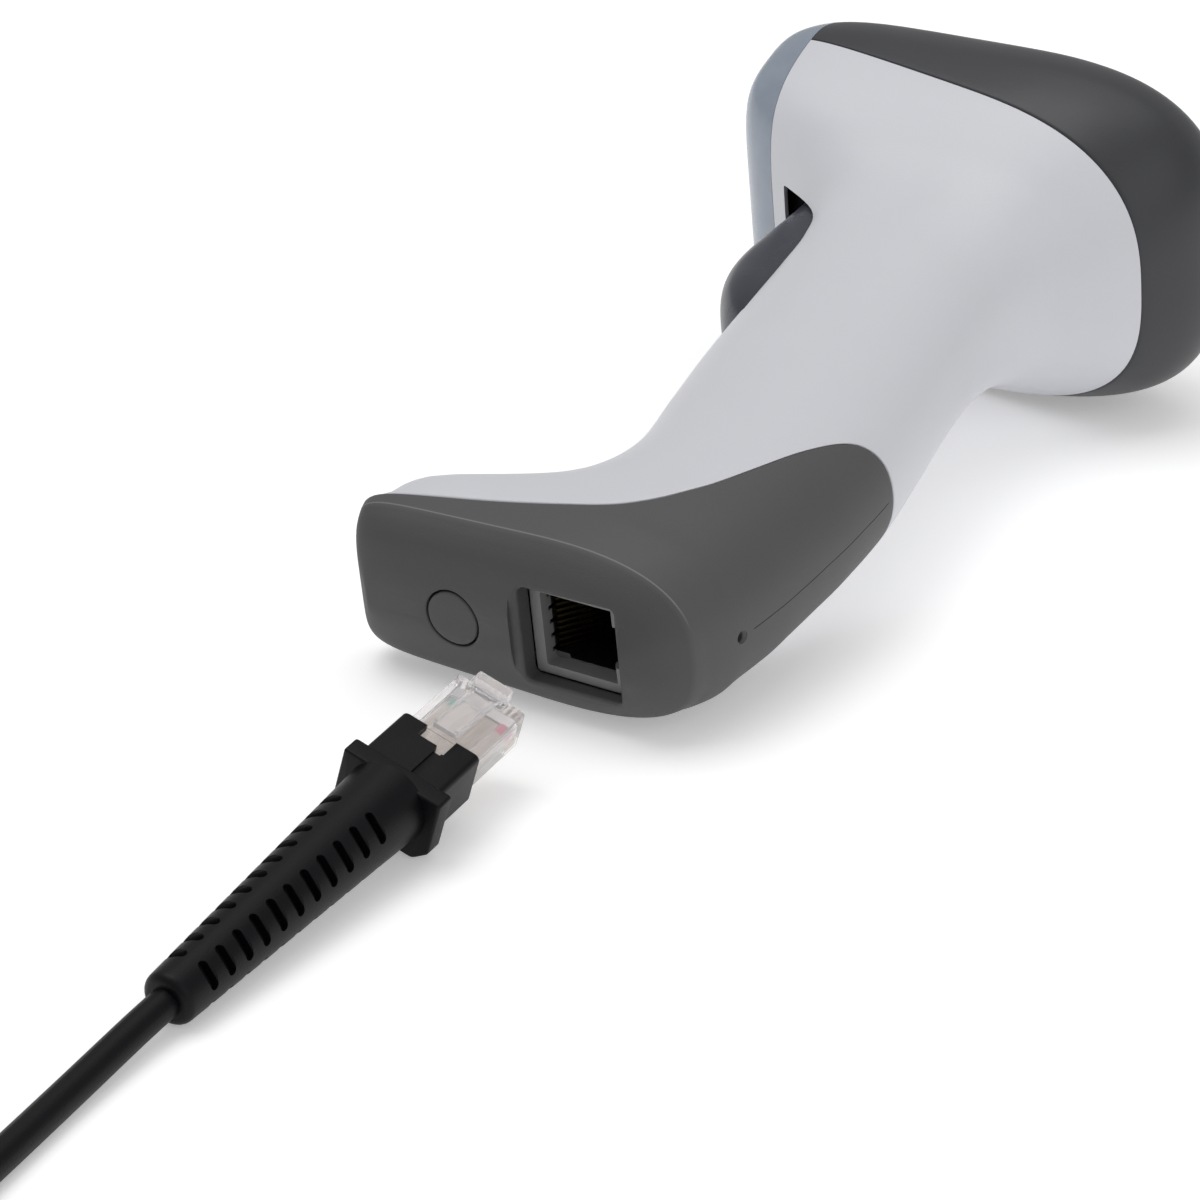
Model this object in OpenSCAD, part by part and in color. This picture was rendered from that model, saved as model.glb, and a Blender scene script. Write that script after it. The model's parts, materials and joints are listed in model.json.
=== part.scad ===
// Handheld barcode scanner, lying on its right side, with its unplugged lead beside it.
//
// Two frames are used. The scanner is drawn in its own design frame: +X from the end of the
// handle to the top of the head, +Y the way it scans, +Z to its left, with the middle plane at
// z = 0 and the outer end of the handle at x = 0. lay_down() then puts it on the surface z = 0,
// where it rests on the side of its head and the side of its boot. The lead is drawn in place.

/* [Scanner] */
// half of the head's width
head_half_w = 31; // [30:0.5:32]
// half of the handle's width inside the boot
end_half_w = 15.4; // [15:0.1:16]
// wall thickness of the light housing
wall = 2.3; // [2:0.1:2.5]
// thickness of the rubber boot
boot_t = 2.0; // [1.8:0.1:2.2]
// gap between neighbouring mouldings
seam = 0.1; // [0.08:0.01:0.15]

/* [Socket] */
// width of the opening that takes the modular plug
socket_w = 11.9; // [11.8:0.05:12]
// height of that opening
socket_h = 9.2; // [9:0.1:9.6]
// depth of the socket behind its face
socket_depth = 17; // [16:0.5:18]
// radius of the latch release hole
release_r = 0.6; // [0.5:0.05:0.65]

/* [Trigger] */
// distance of the pivot from the end of the handle
pivot_x = 130; // [129:0.5:131]
// distance of the pivot in front of the jack's axis
pivot_y = 28; // [27.5:0.5:28.5]
// half of the trigger's width
trigger_half_w = 9.3; // [9:0.1:9.4]
// radius of the pivot pin
pin_r = 1.25; // [1.2:0.05:1.3]
// radial clearance of the trigger on its pin
pin_clearance = 0.05; // [0.03:0.01:0.08]

/* [Lead] */
// diameter of the cable
cable_d = 4.5; // [4.5:0.1:4.7]
// width of the modular plug
plug_w = 11.7; // [11.6:0.05:11.8]
// height of the modular plug
plug_h = 6.5; // [6.4:0.1:6.6]
// length of the clear plug in front of its sleeve
plug_reach = 13.5; // [13:0.5:14]

/* [Hidden] */
// Cross-sections of the outer skin, each square to the design X axis:
// [x, rear y, front y, half width, rear roundness, front roundness, narrowing to the front]
skin = [
    [0, -9, 37, 2.2, 6, 6, 0],
    [0.6, -11.4, 38.2, 6.2, 3.6, 6, 0.02],
    [2, -14.3, 39.8, 10.2, 3, 7, 0.04],
    [4, -16.4, 41.2, 12.6, 2.8, 8, 0.06],
    [5.6, -17.5, 41.9, 13.8, 2.7, 8.5, 0.08],
    [6.4, -18, 42.2, 14.25, 2.65, 8.5, 0.085],
    [7.2, -18.4, 42.5, 14.48, 2.6, 8.5, 0.09],
    [8.5, -18.85, 42.8, 14.69, 2.57, 8.3, 0.1],
    [10.3, -19.6, 41, 14.95, 2.54, 8, 0.11],
    [13.5, -20.5, 40.3, end_half_w, 2.5, 7.5, 0.12],
    [16, -20.9, 39.2, end_half_w, 2.4, 7, 0.12],
    [18, -21.1, 37, end_half_w, 2.35, 6, 0.12],
    [20, -21.3, 33.8, end_half_w, 2.3, 5, 0.12],
    [22.5, -21.5, 29.4, 15.4, 2.25, 4, 0.11],
    [25.5, -21.7, 25.5, 15.4, 2.2, 3.2, 0.1],
    [30, -21.8, 21.8, 15.3, 2.15, 2.7, 0.07],
    [37, -21.8, 19.4, 15.3, 2.1, 2.4, 0.05],
    [46, -21.6, 19.2, 15.3, 2.1, 2.3, 0.04],
    [60, -20.4, 22.3, 15.3, 2.1, 2.3, 0.04],
    [75, -17.4, 25.5, 15.3, 2.1, 2.3, 0.04],
    [90, -14, 27.9, 15.6, 2.1, 2.3, 0.04],
    [105, -11, 29.6, 16.3, 2.2, 2.4, 0.04],
    [116, -10.6, 31, 17, 2.3, 2.6, 0.03],
    [124, -12.8, 33.6, 18.4, 2.4, 3, 0.02],
    [130, -17.4, 41, 20.9, 2.6, 4, 0],
    [135, -22.2, 50.5, 24.2, 2.7, 5.5, 0],
    [140, -26, 55.2, 27.2, 2.8, 6.5, 0],
    [147, -29.5, 56, 30, 3, 7, 0],
    [153, -30.5, 55.6, head_half_w, 3, 7, 0],
    [160, -28.5, 53.5, 29.4, 2.9, 6, 0],
    [165, -22.5, 48.5, 25, 2.6, 4.5, 0],
    [168, -12, 38, 16, 2.3, 3, 0]
];
// upper edge of the boot seen from the side: [y, x]
boot_edge = [
    [-30, 60], [-20, 59.5], [-17.5, 57.5], [-15.5, 54], [-13, 46.5], [-10, 36.5], [-7, 28.5],
    [-3, 22], [2, 17.4], [9, 14.5], [18, 12.3], [28, 10.6], [38, 9.2], [50, 8.5]
];
// outline of the trigger: [x, inner y, outer y, half width, inner roundness, outer roundness, 0]
lever = [
    [89.5, 20.5, 25.5, 5, 3, 2.2, 0],
    [91, 20.5, 28.6, 7.4, 3.5, 2.3, 0],
    [94, 20.5, 32.2, 8.7, 4, 2.4, 0],
    [98.5, 20.8, 35.6, trigger_half_w, 4, 2.5, 0],
    [104, 21.2, 38.2, trigger_half_w, 4, 2.5, 0],
    [110, 21.8, 39.5, trigger_half_w, 4, 2.5, 0],
    [117, 22.4, 39.8, trigger_half_w, 4, 2.5, 0],
    [125, 23.2, 39.8, trigger_half_w, 4, 2.5, 0],
    [133, 24, 40.2, trigger_half_w, 4, 2.5, 0]
];
skin_sides = 40;
lever_sides = 24;

// the scanner rests on its head's side and on its boot's side, where the boot is a little wider
head_rest_x = 152;
end_rest_x = 14;
end_rest_w = end_half_w + 0.25;
rest_tilt = atan((head_half_w - end_rest_w) / (head_rest_x - end_rest_x));
lift = end_rest_w * cos(rest_tilt) - end_rest_x * sin(rest_tilt) + 0.08;
middle = [84.24, 12.69];

jack_front = 4;
jack_back = 22;
jack_y = [-7.3, 9.4];
jack_half_z = 8;
recess_y = [-7.4, 9.5];
recess_half_z = 8.1;
recess_lip = 0.8;
socket_top_y = 4.9;
latch_half_w = 3.6;
latch_depth = 2.3;
contact_slot_y = 7.4;
jack_pins = 10;
pin_pitch = 1.02;
release_x = 14.6;
release_y = -17.8;

end_screw_y = 21.3;
end_screw_head_r = 2.7;
end_screw_shank_r = 1.1;
end_plug_r = 4.5;

board_x = [30, 127];
board_half_w = 9.8;
board_t = 1.6;

spine_x = [31, 85];
spine_half_w = 7.5;
slot_x = [88.1, 134.5];
slot_y = [10, 42];
slot_half_w = 9.9;
nose_y = 45.5;
seam_x = 141;
seam_slope = 0.16;
window_x = [140, 158];
window_half_w = 15.5;
window_back_y = 49.8;
window_t = 1.4;

switch_x = 118;
switch_face_y = 5.1;
plunger_reach = 1.2;
rib_gap = 0.5;

chassis_x = 135.5;
chassis_t = 1.8;
// the chassis goes on upwards, and shades the window from the trigger's slot
shade_half_w = 11;
shade_top_y = 47.5;
ear_z = 10.2;
ear_t = 2.6;
engine_x = [137.4, 155];
engine_y = [16, 39];
engine_half_w = 14;
lens_x = 148;

plug_front = [-100.2, -9.3, 11.05];
plug_heading = 2.5;
plug_pitch = 5.2;
plug_roll = 19.8;
plug_body = 21.5;
collar_len = 9.9;
collar_w = 13.2;
collar_h = 9;
flange_w = 16.4;
flange_z = [-6.8, 4.9];
flange_t = 3.2;
flange_cut = 2.2;
notch_y = [-2.5, 2.6];
notch_back = 17.2;
relief_len = 51;
relief_d = [12.8, 7.9];
relief_end = plug_reach + collar_len + flange_t + relief_len;

// route of the free cable, from the strain relief to the coil
plug_axis = [cos(plug_pitch) * cos(plug_heading), cos(plug_pitch) * sin(plug_heading), sin(plug_pitch)];
route = [
    plug_front - relief_end * plug_axis, plug_front - (relief_end + 6) * plug_axis,
    [-190, -13.4, 2.9], [-197, -14.1, 2.5], [-205, -15.1, 2.3], [-214, -16.4, 2.3], [-224, -17.8, 2.3],
    [-234, -18.9, 2.3], [-243, -19.6, 2.3], [-252, -20.1, 2.3], [-262, -20.4, 2.3]
];
coil_centre = [-276, -52];
coil_mean_r = 25;
coil_rows = 4;
coil_h = 13.7;
// the last stretch runs straight from the coil to the other plug
tail = [[-268, -83.9, 6.6], [-262, -84.1, 5.9], [-255, -84.3, 4.9], [-248, -84.3, 4.3]];
usb_at = [-248, -84.3];

$fn = 48;

// ---- curves and lofts ----

// place of x in the rows of p
function span_of(p, x) = max([for (i = [0 : len(p) - 2]) if (i == 0 || x >= p[i][0]) i]);

// slope of column k of p at row i
function slope(p, i, k) =
    let (a = max(i - 1, 0), b = min(i + 1, len(p) - 1)) (p[b][k] - p[a][k]) / (p[b][0] - p[a][0]);

// smooth curve through column k of p, at x
function smooth(p, x, k) =
    let (
        i = span_of(p, x),
        h = p[i + 1][0] - p[i][0],
        t = (x - p[i][0]) / h,
        m0 = slope(p, i, k) * h,
        m1 = slope(p, i + 1, k) * h
    )
    (2 * t ^ 3 - 3 * t ^ 2 + 1) * p[i][k] + (t ^ 3 - 2 * t ^ 2 + t) * m0
        + (3 * t ^ 2 - 2 * t ^ 3) * p[i + 1][k] + (t ^ 3 - t ^ 2) * m1;

function sign_power(v, e) = sign(v) * abs(v) ^ e;

// one closed cross-section of p at x, drawn in by inset
function ring(p, x, inset, sides) =
    let (
        rear = smooth(p, x, 1) + inset,
        front = smooth(p, x, 2) - inset,
        half_w = smooth(p, x, 3) - inset,
        narrowing = smooth(p, x, 6)
    )
    [for (i = [0 : sides - 1])
        let (
            c = cos(360 * i / sides),
            s = sin(360 * i / sides),
            e = 2 / smooth(p, x, c > 0 ? 5 : 4),
            along = sign_power(c, e)
        )
        [x, (rear + front) / 2 + along * (front - rear) / 2,
            half_w * sign_power(s, e) * (1 - narrowing * along)]];

// every row of p, with one step between each two, from x = first to x = last
function stops(p, first, last) =
    let (mid = [for (i = [0 : len(p) - 2]) each [p[i][0], (p[i][0] + p[i + 1][0]) / 2]])
    [first, each [for (x = mid) if (x > first + 0.3 && x < last - 0.3) x], last];

// solid through the cross-sections of p
module loft(p, sides, inset = 0, first = undef, last = undef) {
    from = is_undef(first) ? p[0][0] : first;
    to = is_undef(last) ? p[len(p) - 1][0] : last;
    xs = stops(p, from, to);
    n = len(xs);
    polyhedron(
        points = [for (x = xs) each ring(p, x, inset, sides)],
        faces = [
            [for (i = [0 : sides - 1]) i],
            for (k = [0 : n - 2], i = [0 : sides - 1])
                let (j = (i + 1) % sides)
                    each [[k * sides + i, (k + 1) * sides + i, (k + 1) * sides + j],
                        [k * sides + i, (k + 1) * sides + j, k * sides + j]],
            [for (i = [sides - 1 : -1 : 0]) (n - 1) * sides + i]
        ],
        convexity = 10
    );
}

// a thin moulding whose surface is taken as one piece
module moulding() {
    resize([0, 0, 0]) children();
}

// ---- placing ----

module lay_down() {
    translate([-middle[0], -middle[1], lift]) rotate([0, -rest_tilt, 0]) children();
}

module at_plug() {
    translate(plug_front) rotate([0, 0, plug_heading]) rotate([0, -plug_pitch, 0])
        rotate([plug_roll, 0, 0]) children();
}

// box from its lowest to its highest corner
module block(low, high) {
    translate(low) cube(high - low);
}

// cylinder along X, from x = a to x = b
module rod_x(a, b, r, y = 0, z = 0) {
    translate([a, y, z]) rotate([0, 90, 0]) cylinder(h = b - a, r = r);
}

// cylinder along Y, from y = a to y = b
module rod_y(a, b, r, x = 0, z = 0) {
    translate([x, a, z]) rotate([-90, 0, 0]) cylinder(h = b - a, r = r);
}

// ---- regions that divide the skin into mouldings ----

// everything below the boot's upper edge, moved along X by shift
module boot_region(shift = 0) {
    ys = [for (y = [-30 : 2 : 50]) y];
    translate([0, 0, -40]) linear_extrude(80)
        polygon([[-5, -30], each [for (y = ys) [smooth(boot_edge, y, 1) + shift, y]], [-5, 50]]);
}

// everything above the seam between the housing and the top cover
module cover_region(shift = 0) {
    low = seam_x + shift;
    translate([0, 0, -40]) linear_extrude(80)
        polygon([[low - 40 * seam_slope, -40], [low + 60 * seam_slope, 60], [175, 60], [175, -40]]);
}

module nose_region(shift = 0) {
    block([120, nose_y + shift, -40], [175, 70, 40]);
}

// block around the socket's recess in the boot, from x = a to x = b
module recess_block(a, b, grow = 0) {
    block([a, recess_y[0] - grow, -recess_half_z - grow], [b, recess_y[1] + grow, recess_half_z + grow]);
}

module spine_region(grow = 0) {
    block([spine_x[0] - grow, 8, -spine_half_w - grow], [spine_x[1] + grow, 40, spine_half_w + grow]);
}

// room inside the housing
module inside() {
    loft(skin, skin_sides, boot_t + seam + wall, first = 4.6, last = 62);
    loft(skin, skin_sides, wall, first = 60, last = 165.5);
}

// ---- outer mouldings ----

module main_housing() {
    color([0.78, 0.78, 0.8]) lay_down() moulding() difference() {
        union() {
            difference() {
                loft(skin, skin_sides);
                difference() {
                    boot_region(seam);
                    loft(skin, skin_sides, boot_t + seam, first = boot_t + seam, last = 75);
                }
                inside();
            }
            intersection() {
                rod_x(4, 15, 4.2, end_screw_y);
                loft(skin, skin_sides, boot_t + seam, first = boot_t + seam, last = 40);
            }
        }
        cover_region();
        nose_region();
        spine_region();
        block([slot_x[0], slot_y[0], -slot_half_w], [slot_x[1], slot_y[1], slot_half_w]);
        recess_block(-1, jack_front + 3, recess_lip + seam);
        rod_x(-1, 4.6, 3, end_screw_y);
        rod_x(4, 14.5, end_screw_shank_r + 0.02, end_screw_y);
        rod_y(-25, -12, 1.9, release_x);
    }
}

module front_housing() {
    color([0.78, 0.78, 0.8]) lay_down() moulding() difference() {
        intersection() {
            loft(skin, skin_sides, first = 26, last = 90);
            spine_region(-seam);
        }
        loft(skin, skin_sides, wall, first = 24, last = 92);
    }
}

module top_cover() {
    color([0.24, 0.24, 0.26]) lay_down() moulding() difference() {
        intersection() {
            loft(skin, skin_sides, first = 130);
            cover_region(seam);
        }
        loft(skin, skin_sides, wall, first = 128, last = 165.5);
        nose_region();
        rod_x(150, 175, 3.6, -8);
    }
}

module front_bezel() {
    color([0.62, 0.66, 0.72]) lay_down() moulding() difference() {
        intersection() {
            loft(skin, skin_sides, first = 120);
            nose_region(seam);
        }
        loft(skin, skin_sides, wall, first = 118, last = 165.5);
        block([window_x[0], 40, -window_half_w], [window_x[1], 60, window_half_w]);
    }
}

module window_plate(grow, y0, y1) {
    block([window_x[0] - grow, y0, -window_half_w - grow], [window_x[1] + grow, y1, window_half_w + grow]);
}

module scan_window() {
    color([0.5, 0.12, 0.14, 0.6]) lay_down()
        window_plate(1.2, window_back_y, window_back_y + window_t);
}

module window_gasket() {
    color([0.08, 0.08, 0.08]) lay_down() difference() {
        window_plate(1.2, window_back_y - 1, window_back_y);
        window_plate(-0.6, window_back_y - 2, window_back_y + 1);
    }
}

module rubber_boot() {
    color([0.33, 0.33, 0.34]) lay_down() moulding() difference() {
        union() {
            difference() {
                intersection() {
                    loft(skin, skin_sides, last = 75);
                    boot_region();
                }
                loft(skin, skin_sides, boot_t, first = boot_t, last = 80);
            }
            intersection() {
                recess_block(0.5, jack_front - seam, recess_lip);
                loft(skin, skin_sides, first = 0, last = 10);
            }
        }
        recess_block(-1, 10);
        rod_x(-1, 3, end_plug_r + 0.3, end_screw_y);
        rod_y(-25, -15, 0.75, release_x);
    }
}

module end_plug() {
    color([0.32, 0.32, 0.33]) lay_down() rod_x(0.25, 2.1, end_plug_r, end_screw_y);
}

module end_screw() {
    color([0.6, 0.6, 0.62]) lay_down() difference() {
        union() {
            rod_x(2.8, 4.6, end_screw_head_r, end_screw_y);
            rod_x(4.6, 13.5, end_screw_shank_r, end_screw_y);
        }
        block([2.6, end_screw_y - 1.7, -0.4], [3.7, end_screw_y + 1.7, 0.4]);
        block([2.6, end_screw_y - 0.4, -1.7], [3.7, end_screw_y + 0.4, 1.7]);
    }
}

// ---- socket and boards in the handle ----

module modular_jack() {
    socket_y = socket_top_y - socket_h;
    color([0.42, 0.41, 0.42]) lay_down() difference() {
        union() {
            block([jack_front, jack_y[0], -jack_half_z], [jack_back, jack_y[1], jack_half_z]);
            rod_y(release_y, jack_y[0], 1.7, release_x);
        }
        block([jack_front - 1, socket_y, -socket_w / 2],
            [jack_front + socket_depth, socket_top_y, socket_w / 2]);
        block([jack_front - 1, socket_y - latch_depth, -latch_half_w],
            [jack_front + 13, socket_y + 1, latch_half_w]);
        block([jack_front - 1, socket_top_y - 1, -socket_w / 2],
            [jack_front + 8, contact_slot_y, socket_w / 2]);
        rod_y(release_y - 1, socket_y - 1, release_r, release_x);
    }
}

module jack_contacts() {
    color([0.85, 0.7, 0.35]) lay_down() for (i = [0 : jack_pins - 1])
        translate([0, 0, (i - (jack_pins - 1) / 2) * pin_pitch])
            linear_extrude(0.4, center = true) polygon([[jack_front + 3, contact_slot_y - 0.1],
                [jack_front + 8.6, socket_top_y - 1.6], [jack_front + 8.6, socket_top_y - 2.1],
                [jack_front + 3, contact_slot_y - 0.6]]);
}

module jack_board() {
    color([0.1, 0.35, 0.2]) lay_down()
        block([jack_back + seam, -9.5, -8.4], [jack_back + seam + board_t, 9.5, 8.4]);
}

module jack_harness() {
    color([0.75, 0.75, 0.72]) lay_down() block([jack_back + seam + board_t, 2.2, -4.8], [34, 3, 4.8]);
}

module main_board() {
    color([0.1, 0.35, 0.2]) lay_down() difference() {
        block([board_x[0], 0, -board_half_w], [board_x[1], board_t, board_half_w]);
        for (x = [56, 106]) rod_y(-1, 3, 1.2, x, 7);
    }
}

module board_parts() {
    color([0.12, 0.12, 0.13]) lay_down() {
        block([34, board_t, -6], [40, 5, 6]);
        block([62, board_t, -6], [74, 3.2, 6]);
        block([80, board_t, -7], [88, 3, 1]);
        block([94, board_t, -4], [98, 4.4, 4]);
        block([122, board_t, -6], [126, 3.6, 6]);
    }
}

module board_screws() {
    color([0.7, 0.7, 0.72]) lay_down() for (x = [56, 106]) {
        rod_y(board_t, board_t + 1.4, 2.1, x, 7);
        rod_y(-5, board_t, 1.1, x, 7);
    }
}

module beeper() {
    color([0.1, 0.1, 0.1]) lay_down() difference() {
        rod_y(board_t, 7, 5.5, 47.5);
        rod_y(6, 8, 1, 47.5);
    }
}

// ---- trigger ----

module trigger() {
    tip_y = switch_face_y + plunger_reach + rib_gap;
    color([0.26, 0.27, 0.31]) lay_down() difference() {
        union() {
            loft(lever, lever_sides);
            block([switch_x - 1.5, tip_y, -2], [switch_x + 1.5, 26, 2]);
        }
        translate([pivot_x, pivot_y, -20]) cylinder(h = 40, r = pin_r + pin_clearance);
        block([pivot_x - 3.6, 20, -4], [140, pivot_y + 3.6, 4]);
    }
}

module trigger_pin() {
    color([0.75, 0.75, 0.77]) lay_down()
        translate([pivot_x, pivot_y, -ear_z - ear_t]) cylinder(h = 2 * (ear_z + ear_t), r = pin_r);
}

module trigger_spring() {
    wire_r = 0.35;
    turn_r = 2;
    turns = 7;
    color([0.7, 0.7, 0.72]) lay_down() translate([pivot_x, pivot_y, 0]) {
        for (i = [0 : turns - 1]) translate([0, 0, (i - (turns - 1) / 2) * wire_r * 1.9])
            rotate_extrude() translate([turn_r, 0]) circle(r = wire_r, $fn = 24);
        translate([turn_r, 0, 2]) rotate([0, 90, 0]) cylinder(h = 3.4, r = wire_r);
        translate([0, -turn_r, -2]) rotate([0, -90, 0]) cylinder(h = 2.4, r = wire_r);
    }
}

module switch_body() {
    color([0.15, 0.15, 0.16]) lay_down() difference() {
        block([switch_x - 3, board_t, -3], [switch_x + 3, switch_face_y, 3]);
        rod_y(3.5, 6, 1.75, switch_x);
    }
}

module switch_plunger() {
    color([0.85, 0.85, 0.82]) lay_down() rod_y(4.1, switch_face_y + plunger_reach, 1.7, switch_x);
}

// ---- inside the head ----

module chassis() {
    color([0.12, 0.12, 0.13]) lay_down() difference() {
        union() {
            block([chassis_x, -10, -16], [chassis_x + chassis_t, 40, 16]);
            block([chassis_x, 39, -shade_half_w], [chassis_x + chassis_t, shade_top_y, shade_half_w]);
            for (s = [-1, 1]) translate([pivot_x - 3, pivot_y - 3.2, s > 0 ? ear_z : -ear_z - ear_t])
                cube([chassis_x - pivot_x + 3.5, 6.4, ear_t]);
        }
        block([chassis_x - 1, 6, -6], [chassis_x + 3, 13, 6]);
        translate([pivot_x, pivot_y, -20]) cylinder(h = 40, r = pin_r);
        for (y = [-5, 5], z = [-12, 12]) rod_x(chassis_x - 1, chassis_x + 3, 1.2, y, z);
    }
}

module engine_housing() {
    color([0.2, 0.2, 0.21]) lay_down() difference() {
        union() {
            block([engine_x[0], engine_y[0], -engine_half_w], [engine_x[1], engine_y[1], engine_half_w]);
            for (s = [-1, 1]) translate([engine_x[0], -8, s * 12 - 3.5]) cube([2, 25, 7]);
            rod_y(engine_y[1] - 1, engine_y[1] + 5, 5, lens_x);
        }
        rod_y(engine_y[1] + 1, engine_y[1] + 6, 4, lens_x);
        for (y = [-5, 5], z = [-12, 12]) rod_x(engine_x[0] - 1, engine_x[0] + 3, 1.2, y, z);
        for (z = [-9.5, 9.5]) rod_y(engine_y[1] - 2, engine_y[1] + 1, 2.6, lens_x, z);
    }
}

module engine_lens() {
    color([0.2, 0.25, 0.35, 0.8]) lay_down() intersection() {
        rod_y(engine_y[1] + 1, engine_y[1] + 7, 3.9, lens_x);
        translate([lens_x, engine_y[1] - 4, 0]) sphere(r = 8.4);
    }
}

module engine_lights() {
    color([0.9, 0.85, 0.6]) lay_down() for (z = [-9.5, 9.5]) {
        rod_y(engine_y[1] - 2, engine_y[1] + 2, 2.5, lens_x, z);
        translate([lens_x, engine_y[1] + 2, z]) sphere(r = 2.5);
    }
}

module engine_screws() {
    color([0.7, 0.7, 0.72]) lay_down() for (y = [-5, 5], z = [-12, 12]) {
        rod_x(engine_x[0] + 2, engine_x[0] + 3.4, 2.1, y, z);
        rod_x(chassis_x - 2, engine_x[0] + 2, 1.1, y, z);
    }
}

module engine_flex() {
    color([0.75, 0.5, 0.2]) lay_down() translate([0, 0, -5]) linear_extrude(10)
        polygon([[126, 2.4], [129.5, 2.4], [139, 12], [engine_x[0] + 6, 12], [engine_x[0] + 6, engine_y[0]],
            [engine_x[0] + 5.7, engine_y[0]], [engine_x[0] + 5.7, 12.3], [138.8, 12.3], [129.3, 2.7],
            [126, 2.7]]);
}

module status_light() {
    color([0.85, 0.9, 0.9, 0.7]) lay_down() union() {
        rod_x(160, 166.9, 3.4, -8);
        rod_x(163.4, 164.6, 4.6, -8);
    }
}

// ---- the lead's plug ----

// flange from x = -b to x = -a, flat on the latch side and with its far corners cut off
module plug_flange(a, b) {
    side = flange_w / 2;
    translate([-b, 0, 0]) rotate([90, 0, 90]) linear_extrude(b - a)
        polygon([[-side, flange_z[1]], [-side, flange_z[0] + flange_cut], [-side + flange_cut, flange_z[0]],
            [side - flange_cut, flange_z[0]], [side, flange_z[0] + flange_cut], [side, flange_z[1]]]);
}

module plug_housing() {
    color([0.85, 0.83, 0.82, 0.5]) at_plug() difference() {
        block([-plug_body, -plug_w / 2, -plug_h / 2], [0, plug_w / 2, plug_h / 2]);
        for (i = [0 : jack_pins - 1]) translate([-3.2, (i - (jack_pins - 1) / 2) * pin_pitch - 0.25,
            -plug_h / 2 - 1]) cube([5, 0.5, 2.6]);
        block([-plug_body - 1, -5.2, -1.5], [-2.4, 5.2, 1.1]);
    }
}

// outline in the plane of the latch's travel, drawn above the plug's top and w wide
module latch_slab(w, outline) {
    translate([0, w / 2 - 0.3, plug_h / 2]) rotate([90, 0, 0]) linear_extrude(w) polygon(outline);
}

module plug_latch() {
    color([0.85, 0.83, 0.82, 0.5]) at_plug() {
        latch_slab(5.8, [[-0.9, 0.05], [-0.4, 0.3], [-0.4, 3.1], [-3.6, 3.1], [-3.6, 0.9], [-1.5, 0.1]]);
        latch_slab(4, [[-3.6, 0.9], [-3.6, 1.9], [-14, 2.7], [-14, 1.8]]);
    }
}

module plug_contacts() {
    color([0.85, 0.7, 0.35]) at_plug() for (i = [0 : jack_pins - 1])
        translate([-2.9, (i - (jack_pins - 1) / 2) * pin_pitch - 0.16, -plug_h / 2 + 0.3])
            cube([2.5, 0.32, 1.2]);
}

module plug_wires() {
    color([0.8, 0.75, 0.6]) at_plug() for (i = [0 : jack_pins - 1])
        translate([-plug_body + 0.5, (i - (jack_pins - 1) / 2) * pin_pitch, -0.2]) rotate([0, 90, 0])
            cylinder(h = plug_body - 3.4, r = 0.44);
}

module plug_sleeve() {
    flange_x = plug_reach + collar_len;
    color([0.06, 0.06, 0.07]) at_plug() difference() {
        union() {
            block([-flange_x, -collar_w / 2, -collar_h / 2], [-plug_reach, collar_w / 2, collar_h / 2]);
            plug_flange(flange_x, flange_x + flange_t);
            translate([-relief_end, 0, 0]) rotate([0, 90, 0])
                cylinder(h = relief_len, r1 = relief_d[1] / 2, r2 = relief_d[0] / 2);
        }
        block([-plug_body - seam, -plug_w / 2 - 0.02, -plug_h / 2 - 0.02],
            [0, plug_w / 2 + 0.02, plug_h / 2 + 0.02]);
        block([-notch_back, notch_y[0], plug_h / 2 - 1], [0, notch_y[1], plug_h]);
    }
}

// ---- cable, coil and the lead's other end ----

function unit(v) = v / norm(v);

// direction of the route at point i
function heading(p, i) = unit(p[min(i + 1, len(p) - 1)] - p[max(i - 1, 0)]);

// ring of a tube round the route's point i
function tube_ring(p, i, r, sides) =
    let (
        t = heading(p, i),
        side = unit(cross([0, 0, 1], t)),
        up = cross(t, side)
    )
    [for (k = [0 : sides - 1]) p[i] + r * (cos(360 * k / sides) * side + sin(360 * k / sides) * up)];

module tube(p, r, sides) {
    n = len(p);
    polyhedron(
        points = [for (i = [0 : n - 1]) each tube_ring(p, i, r, sides)],
        faces = [
            [for (k = [sides - 1 : -1 : 0]) k],
            for (i = [0 : n - 2], k = [0 : sides - 1])
                let (j = (k + 1) % sides) [i * sides + k, i * sides + j, (i + 1) * sides + j,
                    (i + 1) * sides + k],
            [for (k = [0 : sides - 1]) (n - 1) * sides + k]
        ]
    );
}

module cable() {
    color([0.05, 0.05, 0.06]) tube(route, cable_d / 2, 10);
}

module cable_tail() {
    color([0.05, 0.05, 0.06]) tube(tail, cable_d / 2, 10);
}

module cable_coil() {
    color([0.05, 0.05, 0.06]) translate([coil_centre[0], coil_centre[1], 0]) rotate_extrude($fn = 64)
        translate([coil_mean_r - coil_rows * cable_d / 2, 0])
            square([coil_rows * cable_d, coil_h]);
}

module coil_tie() {
    reach = coil_rows * cable_d / 2;
    color([0.1, 0.1, 0.1]) translate([coil_centre[0] - coil_mean_r, coil_centre[1], 0]) difference() {
        block([-reach - 0.8, -4, 0.02], [reach + 1.4, 4, coil_h + 0.9]);
        block([-reach - 0.05, -5, -1], [reach + 0.6, 5, coil_h + 0.05]);
    }
}

module usb_overmould() {
    color([0.06, 0.06, 0.07]) translate([usb_at[0], usb_at[1], 0]) {
        block([0, -8, 0.05], [22, 8, 8.6]);
    }
}

module usb_shell() {
    color([0.75, 0.75, 0.77]) translate([usb_at[0], usb_at[1], 4.3]) difference() {
        block([22, -6, -2.25], [34, 6, 2.25]);
        block([23, -5.7, -1.95], [35, 5.7, 1.95]);
    }
}

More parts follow.
